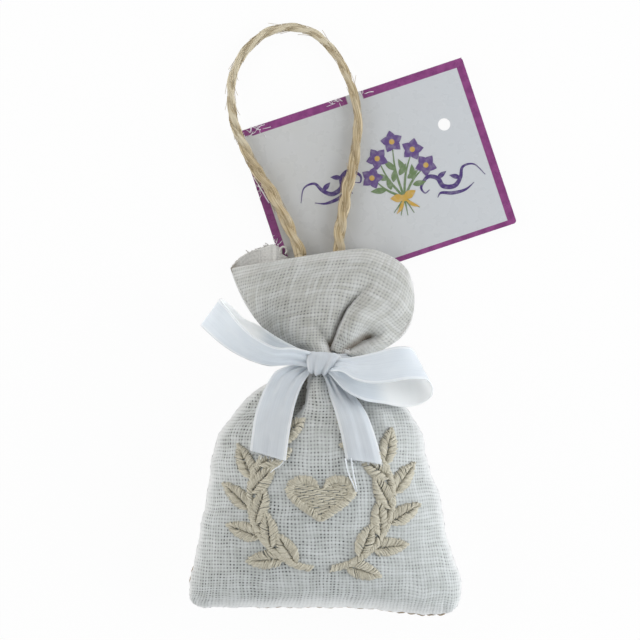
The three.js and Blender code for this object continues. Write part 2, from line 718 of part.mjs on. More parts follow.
// Hanging loop of jute twine, lying on the card and then on the table; it turns up about its two ends.
// The route runs from the right leg round to the left one: x, place above the pivots, height.
const pivotMiddleX = bodyLean + loopPivotShift;
const pivotRightX = pivotMiddleX + loopPivotSpan / 2;
const pivotLeftX = pivotMiddleX - loopPivotSpan / 2;
const twineOnTable = tableClearance + twineRadius;
const loopRoute = [
  [pivotRightX, 0, pivotHeight], [3.3, 2.2, pivotHeight], [4.2, 6.9, pivotHeight], [5, 12, pivotHeight],
  [6.4, 17, pivotHeight], [7.2, 21.8, pivotHeight], [7.7, 27, pivotHeight], [7.7, 30.2, pivotHeight],
  [6.8, 35.2, 3.3], [5, 40.2, 2.5], [2.3, 45.2, 1.8], [-2.2, 50.1, twineOnTable], [-6.1, 51.8, twineOnTable],
  [-9.7, 52.2, twineOnTable], [-14.2, 51, twineOnTable], [-17.8, 48.3, twineOnTable],
  [-20.4, 45.2, twineOnTable], [-22.7, 40.2, 1.6], [-23.2, 35.2, 2.3], [-22.7, 30.2, 3.1],
  [-21.9, 27, pivotHeight], [-19.6, 21.9, pivotHeight], [-17, 17, pivotHeight], [-13.5, 12, pivotHeight],
  [-10.2, 7, pivotHeight], [-7.8, 2.4, pivotHeight], [pivotLeftX, 0, pivotHeight],
];
const loopCurve = new THREE.CatmullRomCurve3(loopRoute.map(([x, place, z]) => point(x, pivotY + place, z)));
const loopSteps = 44;
const twineSides = 8;
addPiece('twine_loop', cordGeometry(loopCurve, loopSteps, twineRadius, twineSides, true), twineColour, 0.95);

// Ends of the twine, held in the neck and knotted together inside the pouch
function anchorGeometry() {
  const legOffset = (twineDiameter + twineLegGap) / 2;
  const endY = pivotY - twineRadius - seatClearance;
  const leg = (hand, pivotX) => {
    const neckX = bodyLean + hand * legOffset;
    const inMouth = (inward, share, rise) => point(
      lerp(pivotX, neckX, inward), neckEndY + share * flareLength, lerp(pivotHeight, neckHeight, rise),
    );
    const curve = new THREE.CatmullRomCurve3([
      point(pivotX, endY, pivotHeight),
      point(pivotX, endY - 2.5, pivotHeight + 0.2),
      inMouth(0.3, 0.71, 0.13),
      inMouth(0.6, 0.43, 0.36),
      inMouth(0.9, 0.2, 0.66),
      inMouth(1, 0.095, 0.88),
      point(neckX, neckEndY, neckHeight),
      point(neckX, neckMiddleY, neckHeight),
      point(neckX, neckStartY, neckHeight),
      point(neckX, neckStartY - twineKnotLength / 2, neckHeight),
    ]);
    return cordGeometry(curve, 16, twineRadius, twineSides, false);
  };
  const knot = new THREE.SphereGeometry(1, 14, 10);
  knot.scale(twineKnotWidth / 2, twineKnotLength / 2, twineKnotWidth / 2);
  knot.translate(bodyLean, neckStartY - twineKnotLength / 2, neckHeight);
  return joined([leg(-1, pivotLeftX), leg(1, pivotRightX), knot]);
}

addPiece('twine_anchor', anchorGeometry(), twineColour, 0.95);

// Card, tucked by one corner between the back of the mouth and the twine
function cardGeometry() {
  const halfWidth = cardWidth / 2;
  const halfHeight = cardHeight / 2;
  const round = cardCornerRadius;
  const outline = new THREE.Shape();
  outline.absarc(halfWidth - round, halfHeight - round, round, 0, Math.PI / 2);
  outline.absarc(round - halfWidth, halfHeight - round, round, Math.PI / 2, Math.PI);
  outline.absarc(round - halfWidth, round - halfHeight, round, Math.PI, 1.5 * Math.PI);
  outline.absarc(halfWidth - round, round - halfHeight, round, 1.5 * Math.PI, 2 * Math.PI);
  const hole = new THREE.Path();
  const holeX = halfWidth - cardHoleFromRight;
  const holeY = halfHeight - cardHoleFromTop;
  hole.absarc(holeX, holeY, cardHoleDiameter / 2, 0, 2 * Math.PI);
  outline.holes.push(hole);
  return new THREE.ExtrudeGeometry(outline, { depth: cardThickness, bevelEnabled: false, curveSegments: 6 });
}

const card = addPiece('label_card', cardGeometry(), cardColour, 0.35);
card.position.set(bodyLean + cardSideways, rimY + cardBeyondRim, cardBottomHeight);
card.rotation.z = degToRad(cardTurn);

export default sachet;
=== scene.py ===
# Lavender sachet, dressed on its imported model. The sections follow the sachet as it is made: the pouch is sewn,
# embroidered and filled, the twine is put in, the ribbon is tied, and the card is tucked into the mouth.
import math
import bpy
import numpy as np
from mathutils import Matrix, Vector
from mathutils.bvhtree import BVHTree


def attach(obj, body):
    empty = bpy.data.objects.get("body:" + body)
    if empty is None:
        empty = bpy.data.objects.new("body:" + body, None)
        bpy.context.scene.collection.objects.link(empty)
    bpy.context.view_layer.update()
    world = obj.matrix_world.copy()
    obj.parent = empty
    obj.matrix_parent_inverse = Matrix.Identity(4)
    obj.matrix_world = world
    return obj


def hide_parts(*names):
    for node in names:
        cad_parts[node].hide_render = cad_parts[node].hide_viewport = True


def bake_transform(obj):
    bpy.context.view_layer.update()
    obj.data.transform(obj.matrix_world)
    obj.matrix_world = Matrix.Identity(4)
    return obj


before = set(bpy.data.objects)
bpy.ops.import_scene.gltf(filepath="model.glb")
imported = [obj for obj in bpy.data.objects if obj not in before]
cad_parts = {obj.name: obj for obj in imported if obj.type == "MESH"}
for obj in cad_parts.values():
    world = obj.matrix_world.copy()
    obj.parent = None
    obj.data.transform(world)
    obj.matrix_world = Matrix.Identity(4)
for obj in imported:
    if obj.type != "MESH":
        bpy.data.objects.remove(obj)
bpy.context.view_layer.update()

# Linen pouch: two panels of slubby off-white linen in an open plain weave, sewn together inside out and turned.
# The cloth is gathered above the filling and flares out again over the tie. The front of the mouth has a turned hem,
# and the back of it is a cut edge. Places are in millimetres from the middle of the flat patch on the back.
mm = 0.001
bottom_y, neck_start, neck_end = -24.0, 33.8, 38.6
seam_gap = 0.25


def smooth(places, values):
    # A smooth curve through a few places along a piece
    x = np.asarray(places, float)
    y = np.asarray(values, float)
    step = np.diff(x)
    across = step if y.ndim == 1 else step[:, None]
    slope = np.diff(y, axis=0) / across
    inner = (slope[1:] * across[:-1] + slope[:-1] * across[1:]) / (across[1:] + across[:-1])
    tangent = np.concatenate([slope[:1], inner, slope[-1:]])

    def at(place):
        t = np.clip(np.asarray(place, float), x[0], x[-1])
        i = np.clip(np.searchsorted(x, t, side="right") - 1, 0, len(x) - 2)
        h = step[i]
        s = (t - x[i]) / h
        if y.ndim > 1:
            h, s = h[..., None], s[..., None]
        rise = y[i + 1] - y[i]
        return (y[i] + rise * s * s * (3 - 2 * s)
                + h * tangent[i] * s * (1 - s) ** 2 - h * tangent[i + 1] * s * s * (1 - s))
    return at


def eased(value, start, end):
    s = np.clip((np.asarray(value, float) - start) / (end - start), 0, 1)
    return s * s * (3 - 2 * s)


def quarter_round(distance, radius):
    return np.sqrt(np.clip(1 - (1 - np.clip(distance / radius, 0, 1)) ** 2, 0, 1))


def run_along(points):
    # The distance of each point from the first one, along their line
    return np.concatenate([[0], np.cumsum(np.linalg.norm(np.diff(points, axis=0), axis=-1))])


def unit(vectors):
    return vectors / np.linalg.norm(vectors, axis=-1, keepdims=True)


edge_places = [-24, -21, -15, -9, -3, 3, 9, 13, 17, 20, 23, 26, 29, 31.6, neck_start]
left_edge = smooth(edge_places, [-33.2, -33.2, -32.6, -31.2, -30.2, -29.0, -28.1, -27.6, -26.6, -25.2, -22.9, -20.4,
                                 -17.6, -13.2, -7.4])
right_edge = smooth(edge_places, [32.6, 32.8, 32.2, 30.0, 28.5, 27.7, 25.5, 24.2, 23.7, 22.6, 20.9, 18.6, 15.4, 10.8,
                                  4.9])
seam_height = smooth([-24, 2, 18, neck_start], [9.5, 11.5, 11.5, 12.0])
crown = smooth([-24, -10, 10, 20, 29, neck_start], [21.0, 25.5, 28.0, 25.5, 19.5, 16.5])
back_depth = smooth([-24, 2, 18, 29, neck_start], [10.5, 15.0, 13.5, 8.5, 4.5])

# Folds drawn on the cloth: depth, reach to the left, reach to the right, how far the right side laps over the valley,
# and its line as x, y and share of the depth. A negative depth is a ridge, and a negative lap is the left side's.
body_folds = [
    (5.2, 3.0, 0.5, 0.6, [(-3.4, 34.6, 0), (-3.8, 33.4, .2), (-4.1, 32.2, .9), (-4.3, 30.4, 1), (-4.5, 28.4, 1),
                          (-4.9, 26.4, 1), (-5.8, 24.7, .9), (-7.4, 22.8, .5), (-11.0, 19.0, 0)]),
    (-1.7, 1.4, 1.9, 0, [(-0.9, 35.0, .6), (-1.2, 31.5, 1), (-1.5, 27.5, .8), (-2.0, 21.0, 0)]),
    (3.6, 0.9, 2.6, -0.6, [(0.9, 34.8, .3), (1.5, 31.5, 1), (2.8, 28.5, 1), (5.4, 25.2, .8), (9.0, 22.0, .35),
                           (13.0, 19.0, 0)]),
    (1.3, 1.3, 1.3, 0, [(-5.6, 33.5, .8), (-9.4, 30.4, 1), (-14.0, 26.0, .6), (-18.0, 20.0, 0)]),
    (1.4, 1.3, 1.3, 0, [(4.2, 33.3, .8), (8.4, 30.3, 1), (13.8, 26.0, .7), (18.4, 20.0, 0)]),
    (-0.7, 3.0, 3.0, 0, [(-30, -20.0, .3), (-20, -21.0, 1), (0, -21.0, 1), (20, -21.2, 1), (29, -20.5, .3)]),
    (0.6, 3.0, 3.0, 0, [(-29, -15.5, 0), (-18, -16.5, 1), (2, -17.0, .9), (20, -16.5, 1), (28, -16.0, 0)]),
    (0.7, 2.4, 2.4, 0, [(-29, 2.0, .6), (-22, 6.0, .8), (-14, 8.0, 0)]),
    (0.7, 2.4, 2.4, 0, [(27, 4.0, .6), (21, 8.0, .8), (13, 9.0, 0)]),
]
flare_folds = [
    (3.3, 1.6, 0.5, 0.9, [(12.4, 57.6, 0), (10.7, 55.4, .06), (8.9, 53.2, .26), (7.0, 50.9, .55), (5.3, 48.4, .9),
                          (3.9, 45.3, 1), (2.5, 42.2, 1), (1.3, 39.4, .6)]),
    (5.6, 2.4, 0.7, 1.0, [(14.4, 44.2, 0), (12.2, 42.8, .3), (10.3, 41.9, .8), (8.6, 41.4, 1), (6.9, 40.8, 1),
                          (5.4, 40.2, .9), (4.1, 39.5, .7), (2.8, 38.8, .5)]),
    (1.5, 1.6, 0.9, 0.3, [(-3.6, 46.2, 0), (-1.4, 43.6, .8), (0.4, 41.2, 1), (0.9, 39.6, .6)]),
    (0.35, 1.2, 1.2, 0, [(-12.0, 44.8, 0), (-7.6, 41.2, 1), (-4.2, 39.0, .5)]),
    (0.3, 1.6, 1.6, 0, [(-16.0, 56.5, 0), (-10.5, 50.5, .8), (-6.0, 45.0, .6), (-3.2, 40.5, .4)]),
    (-1.7, 1.4, 3.2, 0, [(13.6, 55.4, 0), (10.6, 51.4, .8), (7.6, 47.4, 1), (5.2, 43.8, 1), (3.2, 40.2, .6)]),
    (-1.2, 4.0, 4.0, 0, [(17.5, 53.5, .4), (17.4, 49.5, 1), (14.5, 47.5, .2)]),
    (-1.3, 1.2, 2.6, 0, [(17.5, 41.2, .4), (14.0, 40.8, 1), (9.6, 39.8, 1), (6.0, 38.4, .5)]),
]


def folded(points, folds):
    # Presses the folds into the cloth, and gives back how deep each place lies
    flat = points.reshape(-1, 3)
    plan = flat[:, :2].copy()
    depths = np.zeros(len(flat))
    for depth, left, right, lap, route in folds:
        line = smooth(np.linspace(0, 1, len(route)), route)(np.linspace(0, 1, 90))
        ahead = unit(np.gradient(line[:, :2], axis=0))
        outward = np.stack([-ahead[:, 1], ahead[:, 0]], axis=1)
        nearest = np.hypot(plan[:, None, 0] - line[None, :, 0], plan[:, None, 1] - line[None, :, 1]).argmin(axis=1)
        away = plan - line[nearest, :2]
        apart = np.hypot(away[:, 0], away[:, 1])
        right_side = (away * outward[nearest]).sum(axis=1) > 0
        share = np.clip(line[nearest, 2], 0, 1)
        drop = depth * share * np.exp(-(apart / np.where(right_side, right, left)) ** 2)
        flat[:, 2] -= drop
        depths += drop
        lapping = (right_side == (lap > 0)) * lap * share * np.exp(-(apart / 1.3) ** 2)
        flat[:, :2] -= outward[nearest] * lapping[:, None]
    return depths.reshape(points.shape[:-1])


def slack(x, y):
    # The small unevenness of filled cloth
    return (0.22 * np.sin(x / 3.1 + y / 4.7 + 0.6) + 0.18 * np.sin(x / 4.4 - y / 2.9 + 2.1)
            + 0.10 * np.sin(x / 1.9 + y / 6.1 + 4.0) + 0.08 * np.sin(-x / 5.3 + y / 1.7 + 1.2))


def body_rows(side, u, y):
    # Half of the pouch's section at each y, from the left seam to the right; side is 1 in front and -1 behind
    turn = np.pi * (u[None, :] + 1) / 2
    y = y[:, None]
    left_corner, right_corner = (radius * (1 - quarter_round(y - bottom_y, radius)) for radius in (3.6, 5.4))
    pucker = 0.12 * np.sin(y * 0.9 + 0.4) + 0.08 * np.sin(y * 2.3 + side) + 0.05 * np.sin(y * 4.9)
    left = left_edge(y) + left_corner + pucker * eased(y, neck_start, 26)
    right = right_edge(y) - right_corner - pucker * eased(y, neck_start, 26)
    x = (left + right) / 2 - (right - left) / 2 * np.cos(turn)
    round_over = 10.0 if side > 0 else 12.0
    full = crown(y) - seam_height(y) if side > 0 else back_depth(y)
    rise = full * quarter_round(y - bottom_y, round_over)
    near_neck = np.maximum(neck_start - y, 0) / 4.0
    pleat = 0.75 * near_neck * np.exp(1 - near_neck) * np.cos(13 * turn + 0.8)
    z = seam_height(y) + side * (seam_gap / 2 + (rise + pleat) * np.sin(turn))
    low = 0.6 * np.sin(turn) ** 0.5 * eased(y, bottom_y, bottom_y + 4) * eased(y, neck_start, neck_start - 8)
    z = z + side * low * slack(x, y)
    droop = 1.8 * eased(x, 4, 27) - 0.9
    edge = droop + 0.10 * np.sin(x * 0.83 + 1.1) + 0.08 * np.sin(x * 1.9 + side) + 0.06 * np.sin(x * 4.3 + 2.0)
    down = y - edge * (1 - eased(y, bottom_y, bottom_y + 9))
    points = np.stack([x, down + 0 * x, z], axis=-1)
    if side < 0:
        soft = 1.5
        points[..., 2] = np.where(z > soft, z, np.maximum(z + soft, 0) ** 2 / (4 * soft))
    return points


def row(points):
    return smooth(np.linspace(-1, 1, len(points)), points)


left_seam = {"belly": (-17.0, 46.3, 6.0), "rim": (-23.4, 59.0, 1.7)}
right_seam = {"belly": (18.6, 42.6, 6.5), "rim": (21.1, 55.8, 2.4)}
front_belly = row([left_seam["belly"], (-12.5, 48.6, 11.2), (-6.5, 50.2, 12.2), (-0.8, 50.8, 12.2), (5.5, 50.3, 11.6),
                   (12.6, 47.6, 10.4), right_seam["belly"]])
front_rim = row([left_seam["rim"], (-17.0, 60.1, 8.4), (-10.0, 61.3, 8.2), (-3.2, 62.4, 7.4), (3.6, 63.4, 7.1),
                 (10.6, 63.8, 6.9), (16.6, 61.6, 5.9), (19.9, 58.8, 4.4), right_seam["rim"]])
back_belly = row([left_seam["belly"], (-12.0, 48.0, 2.0), (-6.0, 49.0, 0.6), (-0.6, 49.3, 0.3), (5.5, 48.8, 0.6),
                  (12.2, 46.8, 2.2), right_seam["belly"]])
back_rim = row([left_seam["rim"], (-20.6, 62.0, 0.5), (-16.4, 64.0, 0.35), (-12.4, 64.7, 0.4), (-8.0, 64.3, 0.2),
                (-1.0, 63.2, 0.1), (7.0, 63.0, 0.1), (15.0, 60.7, 0.3), right_seam["rim"]])


def flare_rows(side, u, share):
    neck = body_rows(side, u, np.array([neck_start]))[0]
    neck[:, 1] = neck_end
    belly = (front_belly if side > 0 else back_belly)(u)
    rim = (front_rim if side > 0 else back_rim)(u)
    belly[:, 2] += side * seam_gap / 2
    rim[:, 2] += side * seam_gap / 2
    control = 2 * belly - (neck + rim) / 2
    s = share[:, None, None]
    points = (1 - s) ** 2 * neck + 2 * s * (1 - s) * control + s * s * rim
    x, y = points[..., 0], points[..., 1]
    points[..., 2] += side * 0.7 * slack(x * 1.1, y) * np.sin(np.pi * share)[:, None]
    points[..., 2] = np.maximum(points[..., 2], 0.12)
    return points


columns_across, neck_rows = 150, 7
across = -np.cos(np.linspace(0, np.pi, columns_across)) * 0.35 + np.linspace(-1, 1, columns_across) * 0.65
along_body = bottom_y + (neck_start - bottom_y) * (1 - np.cos(np.linspace(0, np.pi, 110))) / 2
along_flare = np.concatenate([np.linspace(0, 0.96, 74), np.linspace(0.965, 1, 12)])[1:]


def panel_points(side, with_folds=True):
    body = body_rows(side, across, along_body)
    neck = np.repeat(body[-1:], neck_rows, axis=0)
    neck[..., 1] = np.linspace(neck_start, neck_end, neck_rows + 1)[1:, None]
    flare = flare_rows(side, across, along_flare)
    depths = np.zeros((len(body) + len(neck) + len(flare), len(across)))
    if with_folds:
        depths[:len(body)] = 0.55 * folded(body, body_folds)
        depths[-len(flare):] = folded(flare, flare_folds)
        neck[..., [0, 2]] = body[-1:, :, [0, 2]]
        settle = (1 - eased(along_flare, 0, 0.12))[:, None]
        flare[..., 2] += settle * (neck[-1:, :, 2] - flare[:1, :, 2])
    # The right lobe of the mouth hangs down over the tie
    hang = np.exp(-((flare[..., 0] - 6.5) / 5.5) ** 2) * (1 - eased(flare[..., 1], 39.0, 45.0))
    hang *= eased(along_flare, 0, 0.05)[:, None]
    flare[..., 0] += 1.4 * hang * eased(across, 0.5, 1.0)
    flare[..., 1] -= 2.0 * hang
    flare[..., 2] += 3.4 * max(side, 0) * hang * np.sqrt(1 - across ** 2)
    return np.concatenate([body, neck, flare]), depths


def grid_faces(rows, columns, start=0, flip=False):
    r, c = np.meshgrid(np.arange(rows - 1), np.arange(columns - 1), indexing="ij")
    a = (start + r * columns + c).ravel()
    quads = np.stack([a, a + 1, a + columns + 1, a + columns], axis=1)
    return quads[:, ::-1] if flip else quads


def rim_faces(rows, columns):
    # Quads that close the edge between two like grids, the second numbered after the first
    count = rows * columns
    ring = np.concatenate([np.arange(columns), np.arange(1, rows) * columns + columns - 1,
                           (rows - 1) * columns + np.arange(columns - 2, -1, -1),
                           np.arange(rows - 2, 0, -1) * columns])
    after = np.roll(ring, -1)
    return np.stack([ring, ring + count, after + count, after], axis=1)


def mesh_piece(name, points, faces, uv, material, body, smooth_faces=True):
    # A piece from points in millimetres, with a flat place in millimetres on its cloth or thread for each point
    mesh = bpy.data.meshes.new(name)
    mesh.from_pydata((np.asarray(points, float) * mm).tolist(), [], list(map(list, faces)))
    layer = mesh.uv_layers.new(name="flat")
    corner = np.zeros(len(mesh.loops), dtype=np.int32)
    mesh.loops.foreach_get("vertex_index", corner)
    layer.data.foreach_set("uv", np.asarray(uv, np.float32)[corner].ravel())
    mesh.polygons.foreach_set("use_smooth", np.full(len(mesh.polygons), smooth_faces))
    mesh.materials.append(material)
    mesh.update()
    piece = bpy.data.objects.new(name, mesh)
    bpy.context.scene.collection.objects.link(piece)
    if body:
        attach(piece, body)
    return piece


def normals_of(points):
    n = np.cross(np.gradient(points, axis=1), np.gradient(points, axis=0))
    return n / np.maximum(np.linalg.norm(n, axis=-1, keepdims=True), 1e-9)


def flat_places(points):
    # Where each point lies on the flat cloth: its distance from the middle column, and from the first row
    sideways = np.linalg.norm(np.diff(points, axis=1), axis=-1)
    sideways = np.concatenate([np.zeros((len(points), 1)), np.cumsum(sideways, axis=1)], axis=1)
    middle = points.shape[1] // 2
    sideways -= sideways[:, middle:middle + 1]
    lengthways = run_along(points[:, middle])
    return np.stack([sideways, np.repeat(lengthways[:, None], points.shape[1], axis=1)], axis=-1)


def cloth_piece(name, outer, thickness, rim_round, turned_up, material, body, uv=None, marks=None):
    # A sheet with thickness; its last row is rounded over as a fold where rim_round is above 0
    rows, columns = outer.shape[:2]
    out = normals_of(outer) * turned_up
    thick = np.broadcast_to(np.asarray(thickness, float).reshape(-1, 1, 1), (rows, 1, 1))
    inner = outer - out * thick
    uv = flat_places(outer) if uv is None else uv
    if rim_round > 0:
        to_rim = np.linalg.norm(outer[-1:] - outer, axis=-1)[..., None]
        gone = thick / 2 * (1 - quarter_round(to_rim, rim_round))
        outer, inner = outer - out * gone, inner + out * gone
    count = rows * columns
    flip = turned_up < 0
    top = grid_faces(rows, columns, 0, flip)
    under = grid_faces(rows, columns, count, not flip)
    sides = rim_faces(rows, columns)
    sides = sides[:, ::-1] if flip else sides
    points = np.concatenate([outer.reshape(-1, 3), inner.reshape(-1, 3)])
    places = np.concatenate([uv.reshape(-1, 2)] * 2)
    faces = np.concatenate([top, under, sides]).tolist()
    piece = mesh_piece(name, points, faces, places, material, body)
    layer = piece.data.attributes.new("inner face", "FLOAT", "POINT")
    layer.data.foreach_set("value", np.repeat((0.0, 1.0), count).astype(np.float32))
    for label, values in (marks or {}).items():
        layer = piece.data.attributes.new(label, "FLOAT", "POINT")
        layer.data.foreach_set("value", np.tile(np.ravel(values), 2).astype(np.float32))
    return piece


def feed(socket, value):
    # Sets a shader socket to a number or colour, or links it to the output that makes it
    if isinstance(value, bpy.types.NodeSocket):
        socket.id_data.links.new(value, socket)
    else:
        socket.default_value = (*value, 1.0) if socket.type == "RGBA" else value


def connect(node, **values):
    # Feeds sockets by name, with _ for a space
    for label, value in values.items():
        feed(node.inputs[label.replace("_", " ")], value)


def new_node(kind, values, **settings):
    # A node in the tree of the value that another node makes, with its first sockets fed
    tree = next(value.id_data for value in values if isinstance(value, bpy.types.NodeSocket))
    node = tree.nodes.new("ShaderNode" + kind)
    for name, setting in settings.items():
        setattr(node, name, setting)
    for socket, value in zip(node.inputs, values):
        feed(socket, value)
    return node


def maths(operation, *values):
    return new_node("Math", values, operation=operation).outputs[0]


def times(value, *others):
    for other in others:
        value = maths("MULTIPLY", value, other)
    return value


def plus(first, second):
    return maths("ADD", first, second)


def less(first, second):
    return maths("SUBTRACT", first, second)


def scaled(value, factor, added):
    return maths("MULTIPLY_ADD", value, factor, added)


def ranged(value, low, high, to_low=0.0, to_high=1.0):
    node = new_node("MapRange", (value, low, high, to_low, to_high), interpolation_type="SMOOTHSTEP")
    return node.outputs[0]


def joined(x, y, z=0.0):
    return new_node("CombineXYZ", (x, y, z)).outputs[0]


def parted(vector):
    node = new_node("SeparateXYZ", (vector,))
    return node.outputs[0], node.outputs[1]


def noise(vector, scale, detail=2.0):
    node = new_node("TexNoise", (vector,))
    connect(node, Scale=scale, Detail=detail)
    return node.outputs["Fac"]


def blended(share, first, second):
    tree = next(value.id_data for value in (share, first, second) if isinstance(value, bpy.types.NodeSocket))
    node = tree.nodes.new("ShaderNodeMix")
    node.data_type = "RGBA"
    for index, value in ((0, share), (6, first), (7, second)):
        feed(node.inputs[index], value)
    return node.outputs[2]


def two_toned(value, dark, light, low=0.35, high=0.65):
    return blended(ranged(value, low, high), dark, light)


def raised(height, strength, distance):
    node = height.id_data.nodes.new("ShaderNodeBump")
    connect(node, Strength=strength, Distance=distance, Height=height)
    return node.outputs[0]


def flat_map(tree):
    node = tree.nodes.new("ShaderNodeUVMap")
    node.uv_map = "flat"
    return node.outputs[0]


def mark(tree, label):
    node = tree.nodes.new("ShaderNodeAttribute")
    node.attribute_name = label
    return node.outputs["Fac"]


def new_material(name, colour, roughness, **settings):
    material = bpy.data.materials.new(name)
    material.use_nodes = True
    material.diffuse_color = (*colour, 1.0)
    shader = material.node_tree.nodes["Principled BSDF"]
    connect(shader, Base_Color=colour, Roughness=roughness, **settings)
    return material, material.node_tree, shader


def place_group(tree, group, **inputs):
    node = tree.nodes.new("ShaderNodeGroup")
    node.node_tree = group
    connect(node, **inputs)
    return node.outputs


def new_group(name, inputs, outputs):
    group = bpy.data.node_groups.new(name, "ShaderNodeTree")
    for label, kind in inputs:
        group.interface.new_socket(name=label, in_out="INPUT", socket_type=kind)
    for label, kind in outputs:
        group.interface.new_socket(name=label, in_out="OUTPUT", socket_type=kind)
    return group, group.nodes.new("NodeGroupInput").outputs, group.nodes.new("NodeGroupOutput").inputs


# Plain weave: yarns of uneven thickness pass over and under each other, with pin holes where the gaps cross
plain_weave, given, wanted = new_group(
    "plain weave",
    [("Place", "NodeSocketVector"), ("Pitch", "NodeSocketFloat"), ("Cover", "NodeSocketFloat")],
    [("Holes", "NodeSocketFloat"), ("Height", "NodeSocketFloat"), ("Slub", "NodeSocketFloat")])
wander = times(less(noise(given["Place"], 0.12, 1.0), 0.5), 1.6)
place_x, place_y = parted(given["Place"])
warp = maths("DIVIDE", plus(place_x, wander), given["Pitch"])
weft = maths("DIVIDE", less(place_y, wander), given["Pitch"])
warp_yarn, weft_yarn = maths("FLOOR", warp), maths("FLOOR", weft)
warp_off, weft_off = (less(maths("FRACT", yarns), 0.5) for yarns in (warp, weft))
warp_slub = noise(joined(times(warp_yarn, 7.31), times(weft, 0.09)), 1.0)
weft_slub = noise(joined(times(warp, 0.09), times(weft_yarn, 5.17), 9.0), 1.0)
warp_gap, weft_gap = (less(maths("ABSOLUTE", off), times(given["Cover"], ranged(slub, 0.3, 0.75, 0.38, 0.64)))
                      for off, slub in ((warp_off, warp_slub), (weft_off, weft_slub)))
crossing = times(ranged(warp_gap, -0.12, 0.10), ranged(weft_gap, -0.12, 0.10))
hole_number = new_node("TexWhiteNoise", (joined(maths("ROUND", warp), maths("ROUND", weft)),), noise_dimensions="2D")
hole = times(crossing, ranged(hole_number.outputs["Value"], 0.0, 0.9, 0.4, 1.1))
odd = maths("FLOORED_MODULO", plus(warp_yarn, weft_yarn), 2.0)
over = scaled(odd, 2.0, -1.0)
warp_round, weft_round = (maths("COSINE", times(off, math.pi)) for off in (warp_off, weft_off))
warp_top = times(warp_round, scaled(times(over, weft_round), 0.5, 0.5))
weft_top = times(weft_round, scaled(times(over, warp_round), -0.5, 0.5))
weave_height = times(maths("MAXIMUM", warp_top, weft_top), less(1.0, hole))
yarn_tone = times(plus(warp_slub, weft_slub), 0.5)
for label, value in (("Holes", hole), ("Height", weave_height), ("Slub", yarn_tone)):
    feed(wanted[label], value)

yarn_pitch, hem_row_pitch, far_from_rim = 0.87, 0.74, 50.0
linen, tree, shader = new_material("slubby linen", (0.58, 0.58, 0.56), 0.9, Sheen_Weight=0.7, Sheen_Roughness=0.4,
                                   Specular_IOR_Level=0.15)
place, to_rim, inner_face = flat_map(tree), mark(tree, "to rim"), mark(tree, "inner face")
weave = place_group(tree, plain_weave, Place=place, Pitch=yarn_pitch, Cover=0.63)
across_cloth, up_cloth = parted(place)
# Painted light and shade: the yarn is painted cooler and paler on the body and warmer and darker up the flare, not a
# change in the yarn itself.
yarn = blended(ranged(up_cloth, 40.0, 80.0), (0.56, 0.604, 0.603), (0.515, 0.524, 0.492))
slubbed = two_toned(weave["Slub"], blended(0.18, yarn, (0.40, 0.36, 0.29)), blended(0.45, yarn, (0.80, 0.81, 0.81)),
                    0.34, 0.66)
# Painted shade: the cloth is painted greyer where the yarns dip down between their crowns.
toned = blended(ranged(weave["Height"], 0.3, 0.95, 0.28, 0.0), slubbed, (0.36, 0.37, 0.38))
in_hem = ranged(to_rim, 2.5, 3.1, 1.0, 0.0)
hem_rows = ranged(maths("SINE", times(to_rim, 2 * math.pi / hem_row_pitch)), 0.3, 0.95, 0.0, 0.28)
doubled = blended(times(in_hem, 0.3), toned, (0.76, 0.76, 0.74))
hemmed = blended(times(in_hem, hem_rows), doubled, (0.26, 0.25, 0.23))
# Painted light: the inner face of the linen is painted paler, with fewer dark holes, where the inside of the mouth
# lies in shade.
inside_painted_light = blended(times(inner_face, 0.9), hemmed, (0.74, 0.735, 0.71))
# Painted shade: the cloth is painted dark brown where the folds lie deep, and at the left corner of the mouth.
shadowed = blended(ranged(mark(tree, "shade depth"), 1.4, 3.8, 0.0, 0.85), inside_painted_light, (0.19, 0.15, 0.10))
# Painted highlight: the cloth is painted paler where it turns away from the camera, so that its edges glow.
turned_away = tree.nodes.new("ShaderNodeLayerWeight").outputs["Facing"]
edge_painted_glow = blended(ranged(turned_away, 0.3, 0.9, 0.0, 0.75), shadowed, (0.88, 0.89, 0.89))
# The holes vary at random with the weave, and are also painted fainter towards the rim and the right of the flare, as
# painted light where the lamps shine through the cloth.
open_weave_and_painted_light = times(ranged(noise(place, 0.11), 0.36, 0.62, 0.55, 1.0), ranged(up_cloth, 70.0, 84.0, 1.0, 0.55),
                   ranged(across_cloth, 4.0, 18.0, 1.0, 0.6))
uncovered = times(scaled(in_hem, -0.6, 1.0), scaled(inner_face, -0.8, 1.0), ranged(turned_away, 0.4, 0.8, 1.0, 0.1))
pin_holes = times(weave["Holes"], open_weave_and_painted_light, uncovered)
# The pin holes are painted near black, darker than the filling behind them in the body; in the flare, where nothing
# lies behind them, this is painted shade.
connect(shader, Base_Color=blended(pin_holes, edge_painted_glow, (0.05, 0.051, 0.053)),
        Normal=raised(weave["Height"], 0.5, 0.00015))

cloth_thickness, hem_thickness = 0.6, 0.95
body_count = len(along_body)
front_thickness = np.concatenate([np.full(body_count + neck_rows, cloth_thickness), cloth_thickness
                                  + (hem_thickness - cloth_thickness) * eased(along_flare, 0.86, 0.9)])
front_points, front_depths = panel_points(1)
back_points, _ = panel_points(-1, False)
up_front = flat_places(front_points)[..., 1]
front = cloth_piece("linen_front", front_points, front_thickness, 0.5, 1, linen, "pouch",
                    marks={"shade depth": front_depths, "to rim": up_front[-1:] - up_front})
# Painted shade: a dark patch inside the back panel at the left corner of the mouth, where no fold lies.
painted_corner_shade = 3.0 * np.exp(-((back_points[..., 0] + 23.2) / 2.8) ** 2) * (back_points[..., 1] > 57.5)
back = cloth_piece("linen_back", back_points, cloth_thickness, 0.2, -1, linen, "pouch",
                   marks={"to rim": np.full(back_points.shape[:2], far_from_rim), "shade depth": painted_corner_shade})
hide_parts("front_panel")
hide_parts("back_panel")


